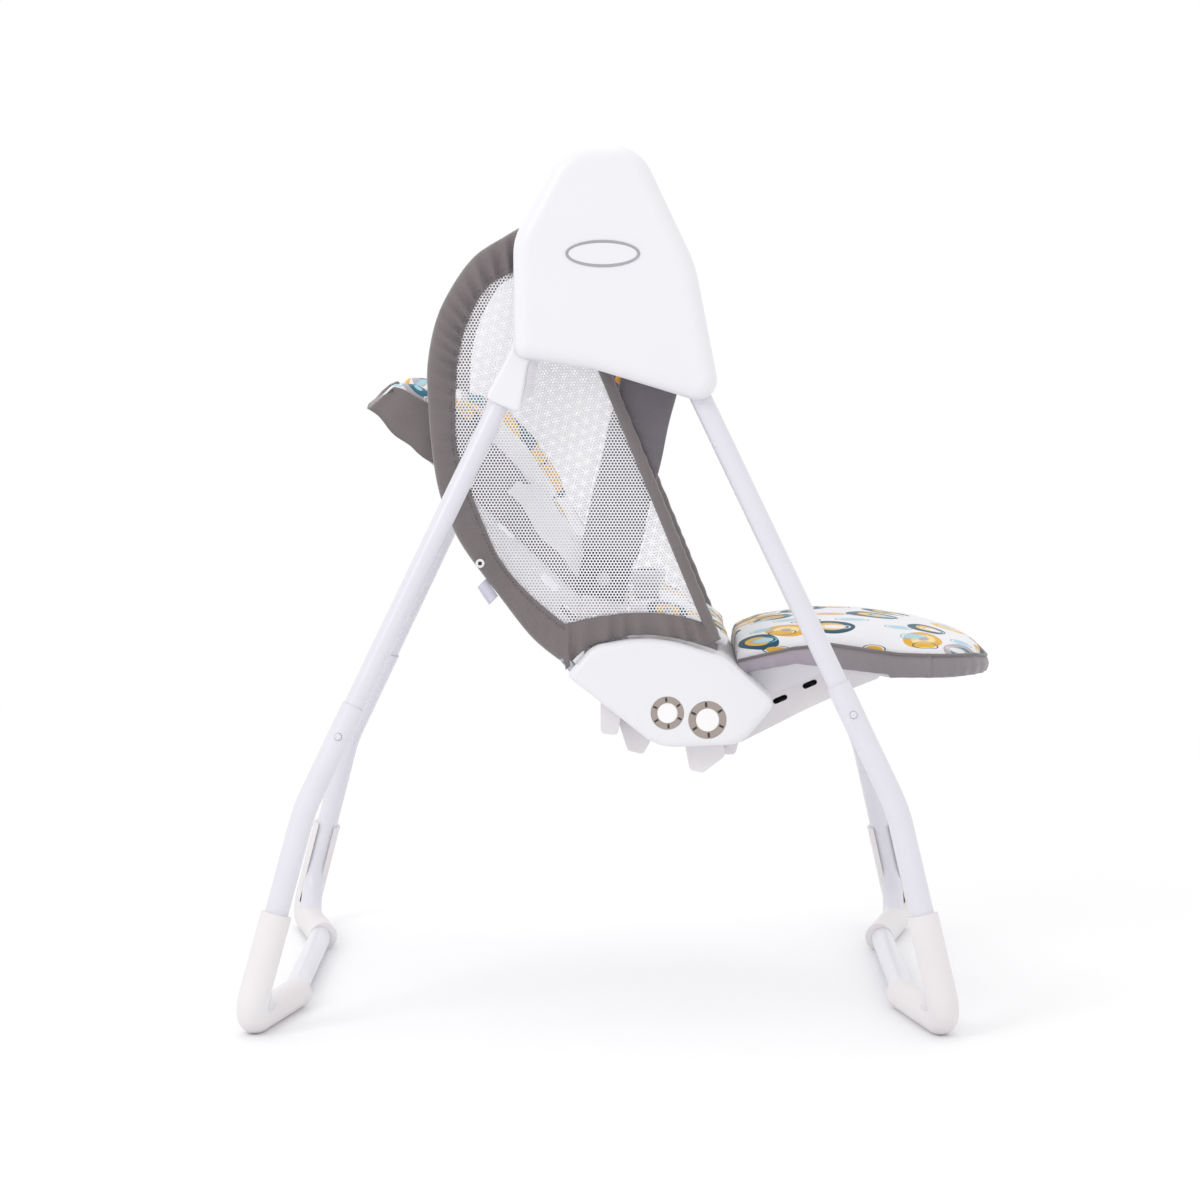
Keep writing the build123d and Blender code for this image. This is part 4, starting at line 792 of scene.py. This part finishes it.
def swell(piece, cap_mm):
    """Fills a closed cover: it rounds out under pressure, no point further than the cap."""
    remesh = piece.modifiers.new("even_mesh", "REMESH")
    remesh.mode = "VOXEL"
    remesh.voxel_size = VOXEL
    use_now(piece, remesh)
    rest = np.array([v.co for v in piece.data.vertices], float)
    cloth = piece.modifiers.new("filling", "CLOTH")
    cloth.settings.use_pressure = True
    cloth.settings.uniform_pressure_force = PRESSURE
    cloth.settings.effector_weights.gravity = 0
    cloth.settings.quality = 5
    for step in range(1, SWELL_FRAMES + 1):
        bpy.context.scene.frame_set(step)
    use_now(piece, cloth)
    bpy.context.scene.frame_set(1)
    moved = np.array([v.co for v in piece.data.vertices], float)
    if len(moved) == len(rest):
        shift = moved - rest
        length = np.linalg.norm(shift, axis=1, keepdims=True)
        shift *= np.minimum(1.0, cap_mm * MM / np.maximum(length, 1e-9))
        piece.data.vertices.foreach_set("co", (rest + shift).ravel())
    settle(piece, 3)
    finer = piece.modifiers.new("finer", "SUBSURF")
    finer.levels = 1
    finer.render_levels = 1
    use_now(piece, finer)
    for face in piece.data.polygons:
        face.use_smooth = True


def use_now(piece, modifier):
    """Applies a modifier, so that its result is the piece's own mesh."""
    bpy.context.view_layer.update()
    held = piece.evaluated_get(bpy.context.evaluated_depsgraph_get())
    baked = bpy.data.meshes.new_from_object(held)
    old = piece.data
    piece.modifiers.remove(modifier)
    piece.data = baked
    if old.materials and not baked.materials:
        baked.materials.append(old.materials[0])


def settle(piece, rounds):
    """Smooths a mesh a little, as wadding evens out a cover."""
    work = bmesh.new()
    work.from_mesh(piece.data)
    for _ in range(rounds):
        bmesh.ops.smooth_vert(work, verts=work.verts, factor=0.5, use_axis_x=True, use_axis_y=True,
                              use_axis_z=True)
    work.to_mesh(piece.data)
    work.free()


def cushion(name, rings, material, cap_mm, body, replaced):
    """A filled cover over rings in place of a CAD pad, swollen by the cap at most."""
    points, faces = loft(rings)
    made = new_piece(name, points, faces, material, None)
    swell(made, cap_mm)
    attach(made, body)
    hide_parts(replaced)
    return made


# Leg rest pad: a printed cushion on the shell, with rounded foot-end corners.
# It is crowned along its length, and a grey cloth border closes its side.

LEG_HALF = 118.0
LEG_REAR, LEG_FRONT = 140.0, 407.0
LEG_CORNER = 78.0
LEG_CREST = [(140, 376), (174, 388), (233, 396), (280, 395), (340, 386), (390, 371), (410, 358)]
LEG_FLOOR = [(140, 346), (205, 357.5), (302, 346), (424, 346)]
CORNER_START = LEG_FRONT - LEG_CORNER
LEG_CROWN = 15.0        # fall of the top from the middle to the side
LEG_ROWS = 25


def height_at(line, x):
    return float(np.interp(x, [p[0] for p in line], [p[1] for p in line]))


def leg_half_width(x):
    """Half the pad's width at that x; the foot-end corners are quarter circles."""
    into = max(0.0, x - CORNER_START)
    if into <= 0:
        return LEG_HALF
    return LEG_HALF - LEG_CORNER + math.sqrt(max(0.0, LEG_CORNER ** 2 - into ** 2))


def leg_pad_ring(x):
    half = leg_half_width(x)
    top, low = height_at(LEG_CREST, x), height_at(LEG_FLOOR, x)
    ring = []
    for y in np.linspace(-half, half, LEG_ROWS):
        share = abs(y) / half
        crown = top - LEG_CROWN * (abs(y) / LEG_HALF) ** 3.0 - (top - low) * 0.24 * share ** 10
        ring.append(spot(x, y, max(crown, low + 4)))
    for y in np.linspace(half, -half, LEG_ROWS):
        ring.append(spot(x, y, low + 3.5 * (abs(y) / half) ** 8))
    return ring


stations = list(np.linspace(LEG_REAR, CORNER_START, 24))
stations += [CORNER_START + LEG_CORNER * math.sin(a) for a in np.linspace(0.08, 1.53, 20)]
cushion("leg_rest_cushion", [leg_pad_ring(x) for x in stations], print_leg, 4.0, "seat",
        "leg_rest_pad")

# Leg rest border: grey woven cloth sewn round the side of the pad under a corded edge, in a
# lavender-grey towards the seat. Small upright folds run round it, where it is eased on.

BORDER_LOW = 340.0
BORDER_SEAM = [(144, 357), (201, 370), (241, 374), (309, 364), (390, 361), (410, 355)]
FLAT_FROM = 300         # past this x the border's lower edge is level
SIDE_CLOTH_END = 236
border_points = [(LEG_REAR + 4, -LEG_HALF), (CORNER_START, -LEG_HALF)]
border_points += [(CORNER_START + LEG_CORNER * math.sin(a),
                   -LEG_HALF + LEG_CORNER - LEG_CORNER * math.cos(a))
                  for a in np.linspace(0.12, math.pi / 2, 12)]
border_points += [(x, -y) for x, y in reversed(border_points)]
edge_line = smooth_line(border_points, 360)


def outward(line, i):
    """The direction square to a line at its point i, to the right of the way it runs."""
    ahead = line[min(i + 1, len(line) - 1)] - line[max(i - 1, 0)]
    return np.array([ahead[1], -ahead[0]]) / max(np.linalg.norm(ahead), 1e-9)


rings = []
for i, (x, y) in enumerate(edge_line):
    out = outward(edge_line, i)
    high = height_at(BORDER_SEAM, x)
    low = max(height_at(LEG_FLOOR, x) - 3.0, BORDER_LOW) if x < FLAT_FROM else BORDER_LOW
    fold = 0.9 * math.sin(i * 0.8 + 1.7 * math.sin(i * 0.11))
    ring = []
    for share in (0.0, 0.25, 0.5, 0.75, 1.0):
        bulge = 1.2 + 3.0 * math.sin(math.pi * share) + fold * (1 - share)
        ring.append(spot(x + out[0] * bulge, y + out[1] * bulge, low + (high - low) * share))
    for share in (1.0, 0.5, 0.0):
        ring.append(spot(x - out[0] * 2.5, y - out[1] * 2.5, low + (high - low) * share))
    rings.append(ring)
border_cloth = woven("leg_border_cloth", "#8C858A", "#827B80", THREAD_MM)
side_cloth = woven("lavender_side_cloth", "#A79FA8", "#9E959F", THREAD_MM)
leg_border = skin("leg_rest_border", rings, border_cloth, "seat")
leg_border.data.materials.append(side_cloth)
for face in leg_border.data.polygons:
    if face.center.x < spot(SIDE_CLOTH_END, 0, 0).x:
        face.material_index = 1

PIPING = 1.7
rings = []
for i, (x, y) in enumerate(edge_line):
    out = outward(edge_line, i)
    ring = []
    for k in range(10):
        angle = k * math.pi / 5
        reach = 1.2 + PIPING * math.cos(angle)
        ring.append(spot(x + out[0] * reach, y + out[1] * reach,
                         height_at(BORDER_SEAM, x) + 0.6 + PIPING * math.sin(angle)))
    rings.append(ring)
skin("leg_rest_piping", rings, grey_weave, "seat")


# Seat pad: a printed cushion over the base, between the wings.
# It slopes down to the leg rest, and it is flat underneath where it lies on the shell.

SEAT_HALF = 114.0
SEAT_REAR, SEAT_FRONT = 28, 137
SEAT_ROWS = 21
SEAT_CREST = [(28, 421), (60, 421), (90, 411), (116, 396), (138, 380)]
SEAT_FLOOR = [(28, 391), (58, 392.5), (100, 384), (138, 367)]

rings = []
for x in np.linspace(SEAT_REAR, SEAT_FRONT, 18):
    top, low = height_at(SEAT_CREST, x), height_at(SEAT_FLOOR, x)
    ring = []
    for y in np.linspace(-SEAT_HALF, SEAT_HALF, SEAT_ROWS):
        ring.append(spot(x, y, max(top - 6 * (abs(y) / SEAT_HALF) ** 6, low + 4)))
    for y in np.linspace(SEAT_HALF, -SEAT_HALF, SEAT_ROWS):
        ring.append(spot(x, y, low))
    rings.append(ring)
seat_cushion = cushion("seat_cushion", rings, print_seat, 3.0, "seat", "seat_pad")


# Back pad: a printed liner with a deep bolster along each side, tied to the back shell.
# The middle lies flat on the pan, and the bolsters rise and fall along the child's body.

def joint_place(name):
    return Vector(next(joint for joint in frame["joints"] if joint["name"] == name)["pos_m"])


hinge = joint_place("back_recline")
UP_BACK = Vector((-math.cos(RECLINE), 0, math.sin(RECLINE)))
TO_CHILD = Vector((math.sin(RECLINE), 0, math.cos(RECLINE)))


def on_back(u, y, n):
    """A point u mm up the back, y mm across and n mm towards the child."""
    return hinge + UP_BACK * u * MM + Vector((0, y * MM, 0)) + TO_CHILD * n * MM


BACK_WIDTH = 124.0
MIDDLE_TOP = [(18, 23), (60, 25), (300, 27), (334, 18)]
BOLSTER_TOP = [(18, 28), (91, 50), (137, 70), (182, 81), (228, 82), (255, 76), (296, 56), (320, 48),
               (336, 30)]
BACK_LOW = 4.5
BACK_FOOT, BACK_HEAD = 18, 332
BACK_ROWS = 33
BOLSTER_START = 84      # mm from the middle, where a bolster begins to rise
BOLSTER_ROLL = 0.86     # of its width, where it begins to fall to the outside

rings = []
for u in np.linspace(BACK_FOOT, BACK_HEAD, 46):
    flat_top = height_at(MIDDLE_TOP, u)
    rise = height_at(BOLSTER_TOP, u) - flat_top
    ring = []
    for y in np.linspace(-BACK_WIDTH, BACK_WIDTH, BACK_ROWS):
        share = (abs(y) - BOLSTER_START) / (BACK_WIDTH - BOLSTER_START)
        lift = 0.0 if share <= 0 else math.sin(min(share * 1.35, 1.0) * math.pi / 2) ** 1.6
        if share > BOLSTER_ROLL:
            lift *= 1 - 0.3 * (share - BOLSTER_ROLL) / (1 - BOLSTER_ROLL)
        ring.append(on_back(u, y, flat_top + rise * lift))
    for y in np.linspace(BACK_WIDTH, -BACK_WIDTH, BACK_ROWS):
        ring.append(on_back(u, y, BACK_LOW))
    rings.append(ring)
back_cushion = cushion("back_cushion", rings, print_back, 3.5, "seat_back", "back_pad")

# Back skirt: grey cloth round the outside of the liner, sewn on below the bolsters' tops.
# It hangs over the edge of the shell, a little slack, so it waves along its hem.

SKIRT_LINE = [(24, -1), (140, -1), (250, -1), (318, -1), (331, -0.9), (333, 0), (331, 0.9), (318, 1),
              (250, 1), (140, 1), (24, 1)]
SKIRT_HALF = 134.5
TUCK_FROM, TUCK_LENGTH = 235, 30    # up the back, where the hem starts to tuck in under the liner
skirt_path = smooth_line([(u, share * SKIRT_HALF) for u, share in SKIRT_LINE], 320)
rings = []
for i, (u, y) in enumerate(skirt_path):
    out = outward(skirt_path, i)
    if out[1] * y < 0 or (abs(y) < 40 and out[0] < 0):
        out = -out
    high = height_at(BOLSTER_TOP, u) * 0.68 + 2
    tuck = min(1.0, max(0.0, (u - TUCK_FROM) / TUCK_LENGTH))
    hem = 3.0 - 6.6 * tuck + 1.6 * math.sin(i * 0.37) * tuck
    lean_in = 7.0 if abs(y) > 60 else 1.0
    wave = 1.6 * math.sin(i * 0.31 + 1.3 * math.sin(i * 0.07))
    ring = []
    for share in (0.0, 0.3, 0.6, 1.0):
        spread = 1.6 + 1.4 * math.sin(math.pi * share) + wave * (1 - share) * 0.6 - lean_in * share
        ring.append(on_back(u + out[0] * spread, y + out[1] * spread, hem + (high - hem) * share))
    for share in (1.0, 0.5, 0.0):
        spread = 0.2 - lean_in * share
        ring.append(on_back(u + out[0] * spread, y + out[1] * spread, hem + (high - hem) * share))
    rings.append(ring)
skin("back_skirt", rings, grey_weave, "seat_back")

# Head support: a flat pillow of the same printed jersey, tied to the liner near its head end.
# It is filled in two lobes, with a dip between them for the head.

PILLOW_FOOT, PILLOW_HEAD = 208, 314
PILLOW_HALF = 82
PILLOW_THICK = 22
PILLOW_LOW = 30.5
PILLOW_ROWS = 23
DIP_WIDTH = 26

rings = []
for u in np.linspace(PILLOW_FOOT, PILLOW_HEAD, 20):
    along = (u - PILLOW_FOOT) / (PILLOW_HEAD - PILLOW_FOOT)
    thick = PILLOW_THICK * math.sin(math.pi * (0.12 + 0.76 * along)) ** 0.7
    ring = []
    for y in np.linspace(-PILLOW_HALF, PILLOW_HALF, PILLOW_ROWS):
        dip = 1 - 0.42 * math.exp(-(y / DIP_WIDTH) ** 2)
        fade = max(0.0, 1 - (abs(y) / PILLOW_HALF) ** 6)
        ring.append(on_back(u, y, PILLOW_LOW + 1 + thick * dip * max(fade, 0.12)))
    for y in np.linspace(PILLOW_HALF, -PILLOW_HALF, PILLOW_ROWS):
        ring.append(on_back(u, y, PILLOW_LOW))
    rings.append(ring)
cushion("head_pillow", rings, print_back, 2.5, "seat_back", "head_support")


# Harness: flat woven nylon webbing, 25 mm wide and 1.7 mm thick, laid over the pads.
# Each strap is woven with a thicker selvedge along both of its edges.

WEB_WIDTH = 25.0
WEB_THICK = 1.7
# across a strap: share of its width from the middle, and of its thickness
WEB_PROFILE = [(-0.5, 0.0), (-0.5, 0.75), (-0.42, 1.0), (-0.3, 0.82), (0.3, 0.82), (0.42, 1.0),
               (0.5, 0.75), (0.5, 0.0)]

webbing = woven("nylon_webbing", "#6D6A70", "#615E64", 2.56, sheen=0.2, roughness=0.7)


def web_strip(name, centres, across, normal, body, replaced):
    """A flat strap along points in metres, with thicker selvedges."""
    rings = [[centre + across * a * WEB_WIDTH * MM + normal * n * WEB_THICK * MM for a, n in WEB_PROFILE]
             for centre in centres]
    made = skin(name, rings, webbing, body)
    if replaced:
        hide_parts(replaced)


def lay_on(piece, down):
    """A finder of the place where a line from a point, in that direction, first meets a piece."""
    shell = BVHTree.FromPolygons([v.co for v in piece.data.vertices],
                                 [p.vertices for p in piece.data.polygons])
    return lambda at: shell.ray_cast(at, down)[0] or at


find_back = lay_on(back_cushion, -TO_CHILD)
for side_name, side in SIDES.items():
    centres = []
    for u in np.linspace(42, 200, 34):
        found = find_back(on_back(u, side * 38.0, 60))
        centres.append(found + TO_CHILD * 0.9 * MM)
    web_strip("shoulder_strap_" + side_name, centres, Vector((0, 1, 0)), TO_CHILD, "seat_back",
              "shoulder_straps" if side_name == "right" else None)

UP = Vector((0, 0, 1))
BUCKLE_HALF = 30        # mm from the middle, where a lap strap rises into the buckle
BUCKLE_SLOT_Z = 0.4262
find_seat = lay_on(seat_cushion, -UP)
for side_name, side in SIDES.items():
    centres = []
    for y in np.linspace(20, 102, 24):
        found = find_seat(spot(50.0, side * y, 470))
        least = BUCKLE_SLOT_Z if y < BUCKLE_HALF else 0
        centres.append(Vector((found.x, found.y, max(found.z + 0.8 * MM, least))))
    web_strip("lap_strap_" + side_name, centres, Vector((1, 0, 0)), UP, "seat",
              "lap_straps" if side_name == "right" else None)


# Toy bar cover: dark grey woven cloth sewn over the moulded arch, with a thin foam under it.
# It is open at each foot, where the arch turns on its pin, and wrinkles at the two bends.

toy_pivot = joint_place("toy_bar_turn")
LEAN = math.radians(13.2)
BAR_UP = Vector((math.sin(LEAN), 0, math.cos(LEAN)))
BAR_FRONT = Vector((math.cos(LEAN), 0, -math.sin(LEAN)))
BAR_Y = 144.5
BAR_TOP = 255.5
BAR_BEND = 67.5
BAR_FOOT = 26.0
BAR_HALF_WIDTH = 29.5
BAR_THICK = 5.2
BEND_AT, BEND_REACH = 118, 26       # mm from the middle, where the cloth wrinkles most

arch = [(-BAR_Y, BAR_FOOT)] + [(-BAR_Y, h) for h in np.linspace(60, BAR_TOP - BAR_BEND, 6)]
arch += [(-BAR_Y + BAR_BEND * (1 - math.cos(a)), BAR_TOP - BAR_BEND * (1 - math.sin(a)))
         for a in np.linspace(0.1, math.pi / 2, 12)]
arch += [(-y, h) for y, h in reversed(arch)]
arch = smooth_line(arch, 260)
rings = []
for i, (y, h) in enumerate(arch):
    out = -outward(arch, i)
    bend = math.exp(-((abs(y) - BEND_AT) / BEND_REACH) ** 2)
    wrinkle = 0.9 * math.sin(i * 0.9 + 2 * math.sin(i * 0.17)) * (0.3 + bend)
    half_width = BAR_HALF_WIDTH + 0.6 * math.sin(i * 0.21)
    ring = []
    for k in range(24):
        angle = 2 * math.pi * k / 24
        flat = math.copysign(abs(math.cos(angle)) ** 0.45, math.cos(angle))
        thick = math.copysign(abs(math.sin(angle)) ** 0.7, math.sin(angle))
        reach = BAR_THICK * thick + wrinkle * max(thick, 0)
        at = toy_pivot + Vector((0, (y + out[0] * reach) * MM, 0)) + BAR_UP * (h + out[1] * reach) * MM
        ring.append(at + BAR_FRONT * half_width * flat * MM)
    rings.append(ring)
dark_weave = woven("dark_grey_polyester", "#736E74", "#68636A", THREAD_MM)
skin("toy_bar_cover", rings, dark_weave, "toy_bar")
dress(black_plastic, "toy_bar")


# Toys: three small stuffed shapes on tape loops: a sun, a leaf and a drop.
# They are short-pile plush, so their edges are soft and the light sinks into them.

PLUSH_MM = 1.1
TOY_ROUND = 36
TOY_LAYERS = 18
TOY_DROP = 0.025        # metres from the toy's lowest point to the middle of its stuffed shape
TAPE_FOOT = 0.017       # metres from that middle to where the tape leaves the shape
KNOT_GAP = 0.0006
TAPE_HALF = (0.0012, 0.0035)


def plush(name, colour, shift):
    made, tree, shader = surface(name, colour, 0.95, Sheen_Weight=0.6, Sheen_Roughness=0.4)
    here = speckled(tree, shader, colour, shift, pitch_mm=8.0)
    pile = node(tree, "ShaderNodeTexNoise", {"Vector": here, "Scale": 1000 / PLUSH_MM, "Detail": 4.0})
    bumped(tree, shader, pile.outputs["Fac"], strength=0.6, distance=0.0008)
    return made


def outline_sun(angle):
    return 24.5 + 3.0 * math.cos(8 * angle)


def outline_leaf(angle):
    return 24.0 / (0.72 + 0.62 * abs(math.cos(angle)) ** 1.4)


def outline_drop(angle):
    up = math.sin(angle)
    return 18.5 + 5.5 * max(0.0, up) ** 6


def toy(name, outline, material, half_depth, sideways=False):
    """A stuffed shape on its tape; the outline gives a radius in mm at each angle."""
    low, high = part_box(name)
    centre = Vector(((low.x + high.x) / 2, (low.y + high.y) / 2, low.z + TOY_DROP))
    rings = []
    for step in range(1, TOY_LAYERS):
        lean = math.pi * step / TOY_LAYERS
        depth = -math.cos(lean)
        size = math.sin(lean) ** 0.55
        ring = []
        for k in range(TOY_ROUND * 2):
            angle = math.pi * k / TOY_ROUND
            radius = outline(angle) * size * MM
            across, along = radius * math.cos(angle), half_depth * depth * MM
            flat = (across, along) if sideways else (along, across)
            ring.append(centre + Vector((*flat, radius * math.sin(angle))))
        rings.append(ring)
    made = skin(name + "_plush", rings, material, name)
    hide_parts(name)
    rings = []
    foot = centre.z + TAPE_FOOT
    for share in np.linspace(0, 1, 12):
        z = foot + (high.z - KNOT_GAP - foot) * share
        ring = []
        for k in range(12):
            angle = k * math.pi / 6
            ring.append(Vector((centre.x + TAPE_HALF[0] * math.cos(angle),
                                centre.y + TAPE_HALF[1] * math.sin(angle) * (1 - 0.5 * share), z)))
        rings.append(ring)
    skin(name + "_tape", rings, webbing, name)


orange = plush("orange_plush", "#E9A021", "#DE9117")
teal = plush("teal_plush", "#1C6377", "#15566A")
sky = plush("light_blue_plush", "#A9CFE0", "#9BC4D7")
toy("toy_sun", outline_sun, orange, half_depth=13.0, sideways=True)
toy("toy_leaf", outline_leaf, teal, half_depth=16.0)
toy("toy_drop", outline_drop, sky, half_depth=18.0)
